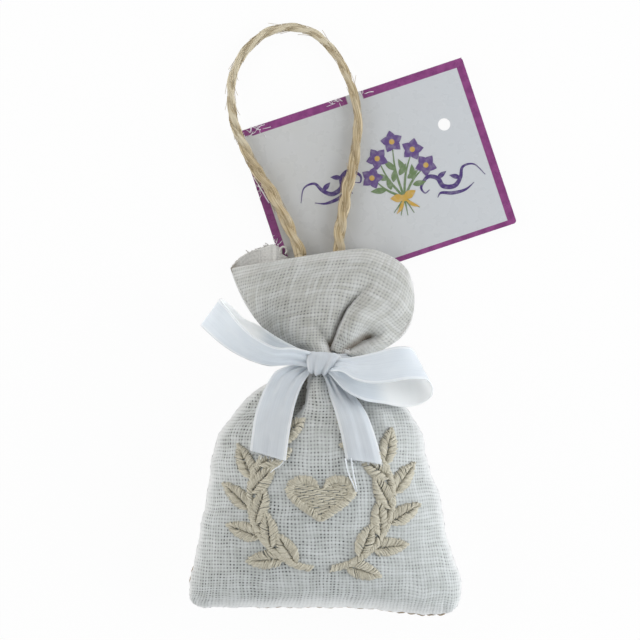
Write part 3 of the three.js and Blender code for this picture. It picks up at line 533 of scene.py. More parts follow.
def seen_from_above(points):
    return BVHTree.FromPolygons([Vector(p) for p in points.reshape(-1, 3)], grid_faces(*points.shape[:2]).tolist())


front_cloth, unfolded_cloth = seen_from_above(front_points), seen_from_above(panel_points(1, False)[0])


def on_front(x, y, cloth=front_cloth):
    # The place on the front of the pouch under a point of the plan, and the way straight out of the cloth there
    spot, normal, _, _ = cloth.ray_cast(Vector((x, y, 100.0)), Vector((0, 0, -1)))
    if not spot:
        return np.array((x, y, 12.0)), np.array((0.0, 0.0, 1.0))
    return np.array(spot), np.array(normal) * (1 if normal.z > 0 else -1)


def frames_along(route):
    ahead = unit(np.gradient(route, axis=0))
    side = unit(np.cross(ahead, np.where(np.abs(ahead[:, 2:]) > 0.93, (1.0, 0, 0), (0, 0, 1.0))))
    return ahead, side, np.cross(side, ahead)


# How far apart the threads of one piece start on its flat map
thread_step = 5.3


def thread_piece(name, routes, radii, sides, material, body):
    # Many round threads as one piece; a thread's flat place is its run and the turn round it
    points, faces, places, start = [], [], [], 0
    turn = np.linspace(0, 2 * np.pi, sides, endpoint=False)
    for index, (route, radius) in enumerate(zip(routes, radii)):
        route = np.asarray(route, float)
        count = len(route)
        _, side, up = frames_along(route)
        radius = np.broadcast_to(np.asarray(radius, float), (count,))[:, None, None]
        rings = route[:, None] + radius * (side[:, None] * np.cos(turn)[None, :, None]
                                           + up[:, None] * np.sin(turn)[None, :, None])
        run = thread_step * index + run_along(route)
        r, c = np.meshgrid(np.arange(count - 1), np.arange(sides), indexing="ij")
        a, b = start + r * sides + c, start + r * sides + (c + 1) % sides
        faces += np.stack([a, b, b + sides, a + sides], axis=-1).reshape(-1, 4).tolist()
        faces += [list(range(start + sides - 1, start - 1, -1)),
                  list(range(start + (count - 1) * sides, start + count * sides))]
        points.append(rings.reshape(-1, 3))
        places.append(np.stack(np.broadcast_arrays(run[:, None], turn[None]), axis=-1).reshape(-1, 2))
        start += count * sides
    return mesh_piece(name, np.concatenate(points), faces, np.concatenate(places), material, body)


def twisted(tree, turns, scale):
    # Streaks that wind round a thread
    along, around = parted(flat_map(tree))
    return noise(joined(along, scaled(along, turns, around)), scale)


# Loose yarns stand out along the cut edge of the back. Left of the middle the edge laps over the side of the card,
# and one yarn has pulled into a small ring there.
yarn_radius, ring_radius = 0.13, 0.26
loose_yarn, tree, shader = new_material("loose linen yarn", (0.62, 0.61, 0.57), 0.9, Specular_IOR_Level=0.15)
connect(shader, Base_Color=two_toned(twisted(tree, 3.0, 1.2), (0.58, 0.57, 0.53), (0.76, 0.75, 0.73)))
chance = np.random.default_rng(3)
edge_row, before_edge = back_points[-1], back_points[-5]
loose_yarns = []
for column in range(6, len(across) - 6):
    for _ in range(2):
        if chance.random() > 0.5:
            continue
        share = chance.random()
        foot = edge_row[column] * (1 - share) + edge_row[column + 1] * share + (0, 0, 0.32)
        out = unit(edge_row[column] - before_edge[column])
        reach = chance.uniform(0.15, 0.5) if chance.random() < 0.92 else chance.uniform(0.5, 1.1)
        lean = chance.uniform(-0.5, 0.5)
        steps = np.linspace(0, 1, 5)[:, None]
        loose_yarns.append(foot - 0.3 * out + out * reach * steps + np.array((lean, 0, 0.25)) * reach * steps ** 2)
ring_turn = np.linspace(-2.4, 2.6, 22)
loose_yarns.append(np.stack([-10.4 + 0.75 * np.sin(ring_turn), 63.3 + 0.95 * np.cos(ring_turn),
                             2.7 + 0.3 * np.cos(ring_turn)], axis=1))
lap_left, lap_low = -16.4, 60.2
lap_across, lap_up = np.linspace(0, 1, 26), np.linspace(0, 1, 16)[:, None]
lap_x = lap_left + (7.3 - 1.6 * eased(lap_up, 0.4, 0.65)) * lap_across
lap_top = np.interp(lap_x, [lap_left, -13.4, -12.0, -10.4], [63.7, 64.9, 64.5, 63.7])
lap_height = 0.8 + 0.9 * eased(lap_x, -16.0, -12.8) + 0.75 * eased(lap_x, -13.0, -12.2)
lap_points = np.stack([lap_x, lap_low + (lap_top - lap_low) * lap_up, lap_height], axis=-1)
lap = cloth_piece("linen_back_lap", lap_points, 0.4, 0.2, 1, linen, "pouch",
                  marks={"to rim": np.full(lap_points.shape[:2], far_from_rim)})
# The whole lap is painted as inner face, so it takes that painted light.
lap.data.attributes["inner face"].data.foreach_set("value", np.ones(len(lap.data.vertices), np.float32))
yarn_radii = [yarn_radius] * (len(loose_yarns) - 1) + [ring_radius]
frayed_edge = thread_piece("linen_frayed_edge", loose_yarns, yarn_radii, 6, loose_yarn, "pouch")

# Seam: the panels are joined with tan sewing thread, from one corner of the mouth round to the other. The stitches
# pull the edges together, and show as a thin broken line where the filling presses the seam open.
sewing_thread, tree, shader = new_material("sewing thread", (0.36, 0.28, 0.19), 0.75, Specular_IOR_Level=0.3)
twist = twisted(tree, 5.0, 1.6)
connect(shader, Base_Color=two_toned(twist, (0.27, 0.20, 0.13), (0.47, 0.38, 0.27)),
        Normal=raised(twist, 0.4, 0.0001))

stitch_pitch, stitch_length, stitch_radius = 2.5, 2.3, 0.2
edge_points = (front_points + back_points) / 2
seam_line = np.concatenate([edge_points[::-1, 0], edge_points[0, 1:-1], edge_points[:, -1]])
seam_run = run_along(seam_line)
stitches = []
for start in np.arange(0.5, seam_run[-1] - 2.4, stitch_pitch):
    run = np.linspace(start, start + stitch_length, 9)
    places = np.stack([np.interp(run, seam_run, seam_line[:, k]) for k in range(3)], axis=1)
    out = np.cross(unit(places[-1] - places[0]), (0, 0, 1.0))
    x, y, _ = places[4]
    pressed_open = 0.10
    if y < -20 and -18 < x < 28.5:
        pressed_open = 0.66 if x > 16 else 0.48
    if x < -29 and -18 < y < -13:
        pressed_open = 0.45
    stitches.append(places + out * (pressed_open * np.sin(np.linspace(0, np.pi, 9)) ** 0.3 - 0.5)[:, None])
seam = thread_piece("seam_stitches", stitches, [stitch_radius] * len(stitches), 7, sewing_thread, "pouch")
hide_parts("seam_thread")

# Embroidery: a wreath of two leafy branches and a heart, worked by machine in beige rayon through the front panel.
# Leaves are two rows of slanted satin stitch, stems are narrow bars, and the heart is filled in rows and has a satin
# edge.
embroidery, tree, shader = new_material("beige rayon thread", (0.50, 0.43, 0.30), 0.5, Sheen_Weight=0.2,
                                        Specular_IOR_Level=0.35)


def per_thread(tree, row, scale):
    # A tone of its own for each thread of a piece
    along, _ = parted(flat_map(tree))
    return noise(joined(maths("FLOOR", maths("DIVIDE", along, thread_step)), row), scale, 1.0)


twist = twisted(tree, 4.0, 2.2)
rayon = two_toned(per_thread(tree, 0.0, 0.71), (0.43, 0.395, 0.295), (0.64, 0.61, 0.50), 0.3, 0.7)
# Painted highlight: the streaks that wind round each thread are painted pale.
connect(shader, Base_Color=blended(ranged(twist, 0.35, 0.65, 0.0, 0.4), rayon, (0.76, 0.735, 0.65)),
        Normal=raised(twist, 0.3, 0.0001))

wreath_x, wreath_y, wreath_radius = -1.2, 4.0, 17.0
stem_start, stem_end, stem_width = -82.0, 52.0, 1.8
leaf_length, leaf_width, leaf_count, leaf_tilt = 8.8, 4.2, 10, 38.0
thread_radius, thread_pitch = 0.19, 0.31
leaf_rise, stem_rise, heart_fill_rise, heart_edge_rise = 0.62, 0.66, 0.26, 0.72
chance = np.random.default_rng(9)


def stitch(start, end, rise):
    # One thread laid over the cloth between two places of the plan, a little unevenly
    start, end = start + chance.normal(0, 0.10, 2), end + chance.normal(0, 0.10, 2)
    rise *= chance.uniform(0.7, 1.18)
    route = []
    for share in np.linspace(0, 1, 6):
        spot, normal = on_front(*(start + (end - start) * share))
        route.append(spot + normal * (0.08 + rise * math.sin(math.pi * share) ** 0.6))
    return np.array(route)


def turned(degrees):
    return np.array((math.cos(math.radians(degrees)), math.sin(math.radians(degrees))))


def leaf(base, heading, length, width):
    ahead, aside = turned(heading), turned(heading + 90)
    stitches = []
    for share in np.arange(0.03, 0.97, thread_pitch / length):
        reach = min(share + 0.14, 1.0)
        half = width / 2 * math.sin(math.pi * reach ** 0.85) ** 0.7 + 0.05
        for hand in (-1, 1):
            vein = base + ahead * length * share + aside * hand * 0.12
            stitches.append(stitch(vein, base + ahead * length * reach + aside * hand * half, leaf_rise))
    return stitches


def stem_place(hand, angle):
    return np.array((wreath_x + hand * wreath_radius * math.cos(math.radians(angle)),
                     wreath_y + wreath_radius * math.sin(math.radians(angle))))


def branch(hand):
    stitches = []
    for angle in np.arange(stem_start, stem_end, math.degrees(thread_pitch / wreath_radius)):
        heading = angle + 90 if hand > 0 else 90 - angle
        across_stem = turned(heading + 52) * stem_width / 2
        middle = stem_place(hand, angle)
        stitches.append(stitch(middle - across_stem, middle + across_stem, stem_rise))
    places = [(stem_start + i * (stem_end - stem_start) / (leaf_count + 1), leaf_tilt if i % 2 == 0 else -leaf_tilt)
              for i in range(1, leaf_count + 1)] + [(stem_end - 1.5, 0.0)]
    for angle, tilt in places:
        heading = (angle + 90 if hand > 0 else 90 - angle) + tilt
        stitches += leaf(stem_place(hand, angle), heading, leaf_length, leaf_width)
    return stitches


for name, hand in (("left", -1), ("right", 1)):
    stitches = branch(hand)
    piece = thread_piece("embroidered_branch_" + name, stitches, [thread_radius] * len(stitches), 6, embroidery,
                         "pouch")
    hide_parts("embroidery_branch_" + name)

heart_turn = np.linspace(0, 2 * np.pi, 241)
heart_up = (13 * np.cos(heart_turn) - 5 * np.cos(2 * heart_turn) - 2 * np.cos(3 * heart_turn)
            - np.cos(4 * heart_turn))
heart_line = np.stack([wreath_x + 8.3 * np.sin(heart_turn) ** 3, 4.3 + 0.424 * heart_up], axis=1)
heart_run = run_along(heart_line)
stitches = []
for number, y in enumerate(np.arange(-2.0, 8.8, 0.40)):
    crossing = np.nonzero((heart_line[:-1, 1] - y) * (heart_line[1:, 1] - y) <= 0)[0]
    ends = sorted(heart_line[i, 0] + (heart_line[i + 1, 0] - heart_line[i, 0]) * (y - heart_line[i, 1])
                  / (heart_line[i + 1, 1] - heart_line[i, 1] + 1e-9) for i in crossing)
    for low, high in zip(ends[::2], ends[1::2]):
        for x in np.arange(low + 0.7 - (number % 3) * 0.85, high - 0.9, 2.55):
            first, last = max(x, low + 0.5), min(x + 2.4, high - 0.5)
            if last - first > 0.6:
                stitches.append(stitch(np.array((first, y)), np.array((last, y + 0.12)), heart_fill_rise))
for run in np.arange(0, heart_run[-1], thread_pitch):
    place, later = (np.array([np.interp(at % heart_run[-1], heart_run, heart_line[:, k]) for k in range(2)])
                    for at in (run, run + 0.6))
    ahead = unit(later - place)
    inward = np.array((ahead[1], -ahead[0]))
    near_axis = min(1.0, abs(place[0] - wreath_x) / 1.6)
    if near_axis < 0.4 and place[1] < 2.0:
        continue
    slant = 0.3 * near_axis
    stitches.append(stitch(place + inward * (0.7 - 0.75 * near_axis) - ahead * slant,
                           place + inward * (0.9 + 0.85 * near_axis) + ahead * slant, heart_edge_rise))
heart = thread_piece("embroidered_heart", stitches, [thread_radius] * len(stitches), 6, embroidery, "pouch")
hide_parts("embroidery_heart")

# Filling: dried lavender, small ribbed buds that are grey-violet and dusty. They are poured in loose and plump the
# pouch up; the buds near the cloth are made one by one over a lumpy core.
dried_lavender, tree, shader = new_material("dried lavender", (0.14, 0.12, 0.22), 0.9)
_, round_bud = parted(flat_map(tree))
ribs = maths("SINE", times(round_bud, 8.0))
bud_colour = two_toned(per_thread(tree, 3.0, 0.83), (0.10, 0.085, 0.19), (0.23, 0.21, 0.24), 0.3, 0.7)
connect(shader, Base_Color=blended(ranged(ribs, -1.0, 1.0, 0.0, 0.35), bud_colour, (0.30, 0.27, 0.33)),
        Normal=raised(ribs, 0.5, 0.0002))

core_depth, buds_per_side = 3.0, 1000
chance = np.random.default_rng(11)
core_rows, core_columns = slice(12, body_count - 16, 3), slice(18, len(across) - 18, 3)
front_out, back_out = normals_of(front_points), -normals_of(back_points)
lumps = 0.35 * slack(front_points[..., 0] * 4, front_points[..., 1] * 4)[..., None]
core_front = (front_points - front_out * (core_depth + lumps))[core_rows, core_columns]
core_back = (back_points - back_out * (core_depth + lumps))[core_rows, core_columns]
rows, columns = core_front.shape[:2]
core_faces = np.concatenate([grid_faces(rows, columns), grid_faces(rows, columns, rows * columns, True),
                             rim_faces(rows, columns)]).tolist()
core_points = np.concatenate([core_front.reshape(-1, 3), core_back.reshape(-1, 3)])
filling = mesh_piece("lavender_core", core_points, core_faces, core_points[:, :2] * 3, dried_lavender, "pouch")
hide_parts("lavender_filling")

buds = []
for points, out in ((front_points, front_out), (back_points, back_out)):
    for _ in range(buds_per_side):
        r, c = chance.integers(12, body_count - 18), chance.integers(16, len(across) - 16)
        if front_points[r, c, 2] - back_points[r, c, 2] < 8.0:
            continue
        ahead = np.cross(out[r, c], chance.normal(size=3))
        ahead *= chance.uniform(1.1, 1.7) / np.linalg.norm(ahead)
        middle = points[r, c] - out[r, c] * chance.uniform(2.4, 3.3)
        buds.append(middle + ahead * np.linspace(-1, 1, 6)[:, None])
bud_shape = np.array((0.25, 0.72, 0.9, 0.86, 0.6, 0.2))
bud_radii = [bud_shape * chance.uniform(0.85, 1.1) for _ in buds]
thread_piece("lavender_buds", buds, bud_radii, 8, dried_lavender, "pouch")

# Hanging loop: jute twine of two long-fibred plies, loosely twisted. Its two ends go down into the neck, where the
# gathered cloth and the ribbon hold them, and are knotted together below. It lies over the card and on the table.
twine_radius, ply_lay, fibre_radius, fibre_count = 1.4, 13.0, 0.05, 260
loop_foot, leaves_mouth, end_knot_radius = 66.0, 61.8, 1.15
loop_route = [(3.15, 0, 3.45), (3.3, 2.2, 3.45), (4.2, 6.9, 3.45), (5.0, 12, 3.45), (6.4, 17, 3.45),
              (7.2, 21.8, 3.45), (7.7, 27, 3.45), (7.7, 30.2, 3.45), (6.8, 35.2, 3.3), (5.0, 40.2, 2.5),
              (2.3, 45.2, 1.8), (-2.2, 49.9, 1.45), (-6.1, 51.5, 1.45), (-9.7, 51.85, 1.45), (-14.2, 50.7, 1.45),
              (-17.8, 48.1, 1.45), (-20.4, 45.2, 1.45), (-22.7, 40.2, 1.6), (-23.2, 35.2, 2.3), (-22.7, 30.2, 3.1),
              (-21.9, 27, 3.45), (-19.6, 21.9, 3.45), (-17.0, 17, 3.45), (-13.6, 12, 3.45), (-11.0, 7, 3.45),
              (-9.2, 3.4, 3.45), (-7.75, 0, 3.45)]
loop_route = [(x, loop_foot + up, z) for x, up, z in loop_route]


def leg_route(leg_x, neck_x):
    inward = neck_x - leg_x
    return [(leg_x, 63.0, 3.5), (leg_x + 0.3 * inward, 56.6, 3.7), (leg_x + 0.6 * inward, 49.6, 4.4),
            (leg_x + 0.9 * inward, 43.6, 6.2), (neck_x, 41.0, 8.0), (neck_x, neck_end, 9.6), (neck_x, 36.2, 10.2),
            (neck_x, neck_start, 10.4), (neck_x, 31.5, 11.0)]


def even_route(points, spacing):
    # Evenly spaced places along a smooth route
    points = np.asarray(points, float)
    fine = smooth(np.arange(len(points)), points)(np.linspace(0, len(points) - 1, 40 * len(points)))
    run = run_along(fine)
    even_run = np.linspace(0, run[-1], max(int(round(run[-1] / spacing)), 3) + 1)
    return np.stack([np.interp(even_run, run, fine[:, k]) for k in range(3)], axis=1), even_run


def thickness(route):
    # The twine is drawn thinner where it bends over at the top
    return (1.1 - 0.3 * eased(route[:, 1], 74, 100))[:, None]


def plies(route, run, chance):
    # The two plies of the twine, each thick and thin by turns
    _, side, up = frames_along(route)
    routes, radii = [], []
    for ply in range(2):
        turn = 0.4 + 2 * np.pi * (run / ply_lay + ply / 2) + 0.7 * np.sin(run / 7.0)
        routes.append(route + 0.5 * thickness(route) * (side * np.cos(turn)[:, None] + up * np.sin(turn)[:, None]))
        uneven = sum(chance.uniform(0.3, 1) * np.sin(run * chance.uniform(0.15, 0.9) + chance.uniform(0, 6))
                     for _ in range(4))
        radii.append((0.88 + 0.035 * uneven) * thickness(route)[:, 0])
    return routes, radii


def fibres(route, count, chance):
    # Loose fibres that leave the twine for a few millimetres
    _, side, up = frames_along(route)
    routes = []
    for _ in range(count):
        start = chance.integers(0, len(route) - 20)
        length = int(chance.integers(7, 18))
        turn = chance.uniform(0, 2 * np.pi)
        stand = chance.uniform(0.02, 0.3) if chance.random() < 0.85 else chance.uniform(0.3, 1.2)
        shares = np.linspace(0, 1, length + 1)
        angle = turn + chance.uniform(0.4, 1.2) * shares
        part = slice(start, start + length + 1)
        out = twine_radius * 0.8 * thickness(route[part])[:, 0] + stand * shares ** 2
        outward = side[part] * np.cos(angle)[:, None] + up[part] * np.sin(angle)[:, None]
        places = route[part] + outward * out[:, None]
        places[:, 2] = np.maximum(places[:, 2], 0.08)
        routes.append(places)
    return routes


jute, tree, shader = new_material("jute", (0.56, 0.42, 0.22), 0.85, Sheen_Weight=0.2, Specular_IOR_Level=0.25)
along_twine, round_twine = parted(flat_map(tree))
winding = scaled(along_twine, 0.12, round_twine)
strands = joined(times(along_twine, 0.06), times(maths("SINE", winding), 2.2), times(maths("COSINE", winding), 2.2))
streak = noise(strands, 2.2, 4.0)
stain = noise(joined(along_twine, 0.0), 0.22)
straw = two_toned(streak, (0.33, 0.24, 0.12), (0.67, 0.56, 0.37), 0.38, 0.64)
bleached = blended(ranged(stain, 0.4, 0.7, 0.0, 0.4), straw, (0.68, 0.61, 0.47))
top_of_loop = times(ranged(along_twine, 42.0, 62.0, 0.0, 0.45), ranged(along_twine, 98.0, 116.0, 1.0, 0.0))
connect(shader, Base_Color=blended(top_of_loop, bleached, (0.80, 0.76, 0.61)), Normal=raised(streak, 0.45, 0.0003))

chance = np.random.default_rng(7)
twine_line, twine_run = even_route(leg_route(3.15, 0.45)[::-1] + loop_route + leg_route(-6.4, -2.85), 0.5)
all_plies, all_radii = plies(twine_line, twine_run, chance)
outside = np.nonzero(twine_line[:, 1] > leaves_mouth)[0]
first, last = outside[0], outside[-1] + 1
loop_line = twine_line[first:last]
loop_fibres = fibres(loop_line, fibre_count, chance)
loop_plies = [route[first:last] for route in all_plies]
loop_radii = [radius[first:last] for radius in all_radii] + [fibre_radius] * len(loop_fibres)
twine = thread_piece("jute_loop", loop_plies + loop_fibres, loop_radii, 10, jute, None)
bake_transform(twine)
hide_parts("twine_loop")

ends = (slice(0, first + 1), slice(last - 1, None))
end_routes = [route[part] for part in ends for route in all_plies]
end_radii = [radius[part] for part in ends for radius in all_radii]
knot_turn = np.linspace(0, 4.2 * np.pi, 60)
end_routes.append(np.stack([-1.2 + 1.9 * np.cos(knot_turn), 30.2 - 2.2 * np.cos(knot_turn / 2 + 0.5),
                            12 + 1.9 * np.sin(knot_turn)], axis=1))
end_radii.append(end_knot_radius)
twine_ends = thread_piece("jute_ends", end_routes, end_radii, 10, jute, "pouch")
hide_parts("twine_anchor")

# Ribbon: one length of 10 mm white satin ribbon with woven edges, drawn tight round the neck and tied in a bow at the
# front. Both loops and both cut tails come out of the knot; the left tail leaves under its loop.
ribbon_width, ribbon_thickness = 10.0, 0.28
satin, tree, shader = new_material("white satin", (0.58, 0.62, 0.66), 0.5, Sheen_Weight=0.15, Sheen_Roughness=0.4,
                                   Specular_IOR_Level=0.35, Subsurface_Weight=0.8, Subsurface_Radius=(1.0, 1.0, 1.0),
                                   Subsurface_Scale=0.0010)
rib_pitch = 0.42
across_ribbon, along_ribbon = parted(flat_map(tree))
from_middle = maths("ABSOLUTE", across_ribbon)
warp_lines = noise(joined(times(across_ribbon, 3.2), times(along_ribbon, 0.05)), 1.0, 3.0)
clouding = noise(joined(across_ribbon, along_ribbon), 0.16)
woven_edge = times(ranged(from_middle, 4.25, 4.4), ranged(from_middle, 4.75, 4.95, 1.0, 0.35))
weft_ribs = maths("SINE", times(along_ribbon, 2 * math.pi / rib_pitch))
filament = two_toned(warp_lines, (0.63, 0.685, 0.75), (0.67, 0.725, 0.79), 0.30, 0.70)
lit = blended(ranged(clouding, 0.35, 0.7, 0.0, 0.35), filament, (0.73, 0.78, 0.835))
edged = blended(woven_edge, lit, (0.77, 0.815, 0.865))
# Painted light: the inner face of the satin is painted whiter, for light through the ribbon into the loops; over the
# last part of each piece, which in the loops lies by the knot, it fades out as painted shade.
painted_ribbon_inside_light = times(mark(tree, "inner face"), ranged(mark(tree, "share of length"), 0.7, 0.8, 0.97, 0.0))
ribbed = plus(times(scaled(weft_ribs, 0.10, warp_lines), 0.5), times(woven_edge, 0.8))
connect(shader, Base_Color=blended(painted_ribbon_inside_light, edged, (0.945, 0.985, 1.0)),
        Roughness=ranged(warp_lines, 0.35, 0.65, 0.58, 0.46), Normal=raised(ribbed, 0.25, 0.0001))


def strip(edges, turned_up, bunching, curl):
    # A length of ribbon between its two edges; where they draw together it bunches into lengthwise pleats
    edges = np.asarray(edges, float)
    middle = edges.mean(axis=1)
    run = run_along(middle)
    places = np.linspace(0, run[-1], int(run[-1] / 0.3) + 2)
    sides = smooth(run, edges.reshape(-1, 6))(places).reshape(-1, 2, 3)
    v = np.linspace(-1, 1, 33)
    points = (sides[:, :1] * (1 - v)[None, :, None] + sides[:, 1:] * (1 + v)[None, :, None]) / 2
    drawn_in = np.clip(1 - np.linalg.norm(sides[:, 1] - sides[:, 0], axis=1) / ribbon_width, 0, 0.7)[:, None]
    pleats = np.cos(2.6 * np.pi * v[None, :] + 0.12 * places[:, None]) - 0.4 * np.cos(5.1 * np.pi * v[None, :] + 1.0)
    curled = curl * np.clip(np.abs(v) - 0.5, 0, 1) ** 2 * 4
    lift = bunching * drawn_in * pleats * (1 - 0.6 * v[None, :] ** 2) - curled
    points += normals_of(points) * turned_up * lift[..., None]
    flat = np.stack(np.broadcast_arrays(v[None, :] * ribbon_width / 2, places[:, None]), axis=-1)
    return points, flat, float(run[-1])


def ribbon_piece(name, edges, turned_up, bunching, body, *nodes, curl=0.0):
    points, flat, length = strip(edges, turned_up, bunching, curl)
    piece = cloth_piece(name, points, ribbon_thickness, 0.0, turned_up, satin, body, uv=flat,
                        marks={"share of length": flat[..., 1] / length})
    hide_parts(*nodes)
    return piece, points, length


def closed_faces(rows, columns):
    # Quads of a ring of rows, each a ring of points
    r, c = np.meshgrid(np.arange(rows), np.arange(columns), indexing="ij")
    later_r, later_c = (r + 1) % rows, (c + 1) % columns
    return np.stack([r * columns + c, later_r * columns + c, later_r * columns + later_c, r * columns + later_c],
                    axis=-1).reshape(-1, 4).tolist()


band_x, band_y, band_z = -1.2, 36.2, 12.0
band_half_x, band_half_z, band_half_width = 6.45, 4.8, 2.1
turn = np.linspace(0, 2 * np.pi, 144, endpoint=False)
band_share = np.linspace(-1, 1, 41)
tuck = np.cos(np.pi * (2.4 * band_share[:, None] + 0.5 * np.sin(2 * turn + 0.6)[None, :])) ** 2
stand = 0.34 + 0.95 * tuck * (1 - band_share[:, None] ** 6)
ring_outer, ring_inner = (
    np.stack(np.broadcast_arrays(band_x + (band_half_x + stand - under) * np.cos(turn),
                                 band_y + band_half_width * band_share[:, None],
                                 band_z + (band_half_z + stand - under) * np.sin(turn)), axis=-1)
    for under in (0.0, ribbon_thickness))
rows, columns = stand.shape
ring_points = np.concatenate([ring_outer, ring_inner[::-1]]).reshape(-1, 3)
ring_places = np.stack([np.tile(np.repeat(band_share * 5, columns), 2), np.tile(turn * 5.6, 2 * rows)], axis=1)
band = mesh_piece("ribbon_round_neck", ring_points, closed_faces(2 * rows, columns), ring_places, satin, "pouch")
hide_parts("ribbon_band")

left_loop, _, left_length = ribbon_piece("ribbon_loop_left", [
    ((-2.0, 38.2, 20.4), (-2.2, 35.4, 20.2)), ((-3.6, 38.8, 21.2), (-4.3, 35.2, 20.3)),
    ((-8.2, 39.7, 23.0), (-8.2, 35.5, 19.8)), ((-11.7, 39.7, 24.2), (-13.4, 35.4, 19.6)),
    ((-17.3, 42.4, 24.2), (-19.2, 37.0, 18.8)), ((-20.8, 45.5, 23.0), (-23.8, 39.5, 17.8)),
    ((-23.5, 48.9, 21.0), (-27.7, 42.6, 16.2)), ((-25.6, 51.2, 18.8), (-30.3, 45.1, 12.8)),
    ((-25.3, 51.6, 15.4), (-29.9, 44.9, 11.4)), ((-22.8, 49.8, 12.2), (-27.0, 42.6, 10.8)),
    ((-20.1, 47.0, 11.4), (-23.2, 39.8, 11.4)), ((-15.9, 44.9, 12.0), (-18.3, 36.7, 13.0)),
    ((-12.8, 42.9, 13.8), (-14.0, 35.3, 14.8)), ((-9.7, 41.1, 16.4), (-9.9, 35.6, 17.0)),
    ((-6.3, 39.5, 19.4), (-6.3, 35.6, 18.8)), ((-3.6, 38.6, 19.4), (-4.3, 35.6, 19.3)),
    ((-2.0, 38.0, 19.4), (-2.2, 35.6, 19.4))], -1, 0.45, None, "bow_loop_left")
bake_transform(left_loop)

right_loop, _, right_length = ribbon_piece("ribbon_loop_right", [
    ((0.6, 38.0, 20.2), (-1.4, 34.8, 20.2)), ((2.8, 37.5, 20.7), (0.2, 34.2, 21.1)),
    ((5.0, 37.4, 21.9), (3.5, 34.1, 23.6)), ((8.1, 37.9, 22.8), (6.6, 32.4, 26.6)),
    ((11.9, 38.8, 23.4), (10.4, 31.5, 28.4)), ((15.8, 39.9, 23.4), (14.7, 31.7, 28.6)),
    ((18.6, 40.1, 22.4), (18.8, 32.4, 27.8)), ((20.4, 39.7, 20.6), (21.9, 32.5, 26.2)),
    ((21.5, 38.3, 18.4), (24.2, 32.2, 24.0)), ((22.0, 36.8, 16.4), (25.6, 29.9, 21.4)),
    ((21.4, 35.9, 15.0), (25.1, 27.8, 18.4)), ((19.0, 35.4, 14.6), (22.8, 26.3, 17.4)),
    ((15.4, 35.4, 15.6), (18.9, 25.5, 18.6)), ((11.0, 35.6, 17.2), (13.9, 26.3, 21.2)),
    ((7.2, 36.1, 18.2), (8.4, 27.4, 23.4)), ((4.0, 36.8, 18.9), (4.0, 29.9, 22.8)),
    ((2.1, 37.4, 19.4), (0.2, 33.9, 20.4)), ((0.6, 37.6, 19.4), (-1.4, 34.8, 19.4))], 1, 0.35, None,
    "bow_loop_right")
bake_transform(right_loop)


def lying(edges):
    # Heights for a tail's edges: each place is x, y and how far it lies above the cloth
    return [tuple((x, y, on_front(x, y, unfolded_cloth)[0][2] + above) for x, y, above in pair) for pair in edges]


left_tail, left_tail_points, left_tail_length = ribbon_piece("ribbon_tail_left", lying([
    ((-3.2, 37.2, 2.6), (-1.2, 35.6, 2.6)), ((-5.5, 36.4, 2.8), (-3.1, 34.5, 2.6)),
    ((-9.4, 35.3, 6.0), (-4.2, 33.2, 2.7)), ((-12.2, 34.0, 7.0), (-5.5, 31.3, 2.4)),
    ((-14.4, 30.7, 5.0), (-6.7, 28.6, 2.0)), ((-16.1, 26.9, 3.4), (-7.6, 25.8, 2.0)),
    ((-17.2, 23.1, 2.5), (-8.3, 22.6, 2.2)), ((-17.8, 18.9, 2.1), (-8.9, 19.1, 2.1)),
    ((-18.2, 15.3, 1.6), (-9.7, 12.9, 1.6))]), -1, 0.8, None, "bow_tail_left")
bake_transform(left_tail)

right_tail, right_tail_points, right_tail_length = ribbon_piece("ribbon_tail_right", lying([
    ((-2.4, 36.6, 2.4), (0.6, 36.4, 2.4)), ((-1.0, 34.2, 2.4), (1.6, 34.2, 2.4)),
    ((0.1, 31.1, 1.8), (4.6, 31.2, 1.3)), ((1.6, 26.9, 1.6), (8.2, 27.4, 1.0)),
    ((2.8, 23.1, 2.3), (10.3, 23.8, 2.1)), ((3.8, 18.9, 2.1), (11.8, 19.5, 2.3)),
    ((4.8, 13.4, 1.6), (13.9, 12.0, 1.7))]), -1, 0.45, None, "bow_tail_right", curl=1.0)
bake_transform(right_tail)


def frayed_end(points, count, chance):
    # Cut warp threads that stand out of the end of a tail
    routes = []
    for _ in range(count):
        column = chance.integers(1, points.shape[1] - 1)
        ahead = unit(points[-1, column] - points[-4, column])
        reach = chance.uniform(0.2, 0.7) if chance.random() < 0.8 else chance.uniform(0.7, 1.5)
        steps = np.linspace(0, 1, 6)[:, None]
        lean = np.array((chance.uniform(-0.5, 0.5), 0, chance.uniform(-0.1, 0.25)))
        routes.append(points[-1, column] - (0, 0, 0.14) + ahead * reach * (steps - 0.1) + lean * reach * steps ** 2)
    return routes


fray_radius = 0.06
chance = np.random.default_rng(5)
left_fray = frayed_end(left_tail_points, 46, chance)
right_fray = frayed_end(right_tail_points, 46, chance)
left_pulled = [(-9.8, 13.2), (-11.0, 11.8), (-12.3, 11.0), (-13.3, 10.1)]
right_pulled = [(4.5, 13.6), (5.2, 10.2), (6.3, 7.6), (7.2, 5.5), (6.9, 7.6), (6.4, 10.0), (5.9, 13.6)]
for fray, pulled in ((left_fray, left_pulled), (right_fray, right_pulled)):
    lifted = [on_front(x, y, unfolded_cloth)[0] + (0, 0, 1.25 + 0.2 * (y > 12)) for x, y in pulled]
    fray.append(even_route(lifted, 0.4)[0])
left_threads, right_threads = (
    thread_piece("ribbon_fray_" + name, fray, [fray_radius] * (len(fray) - 1) + [pulled_radius], 6, satin,
                 "tail_" + name)
    for name, fray, pulled_radius in (("left", left_fray, 0.13), ("right", right_fray, 0.2)))

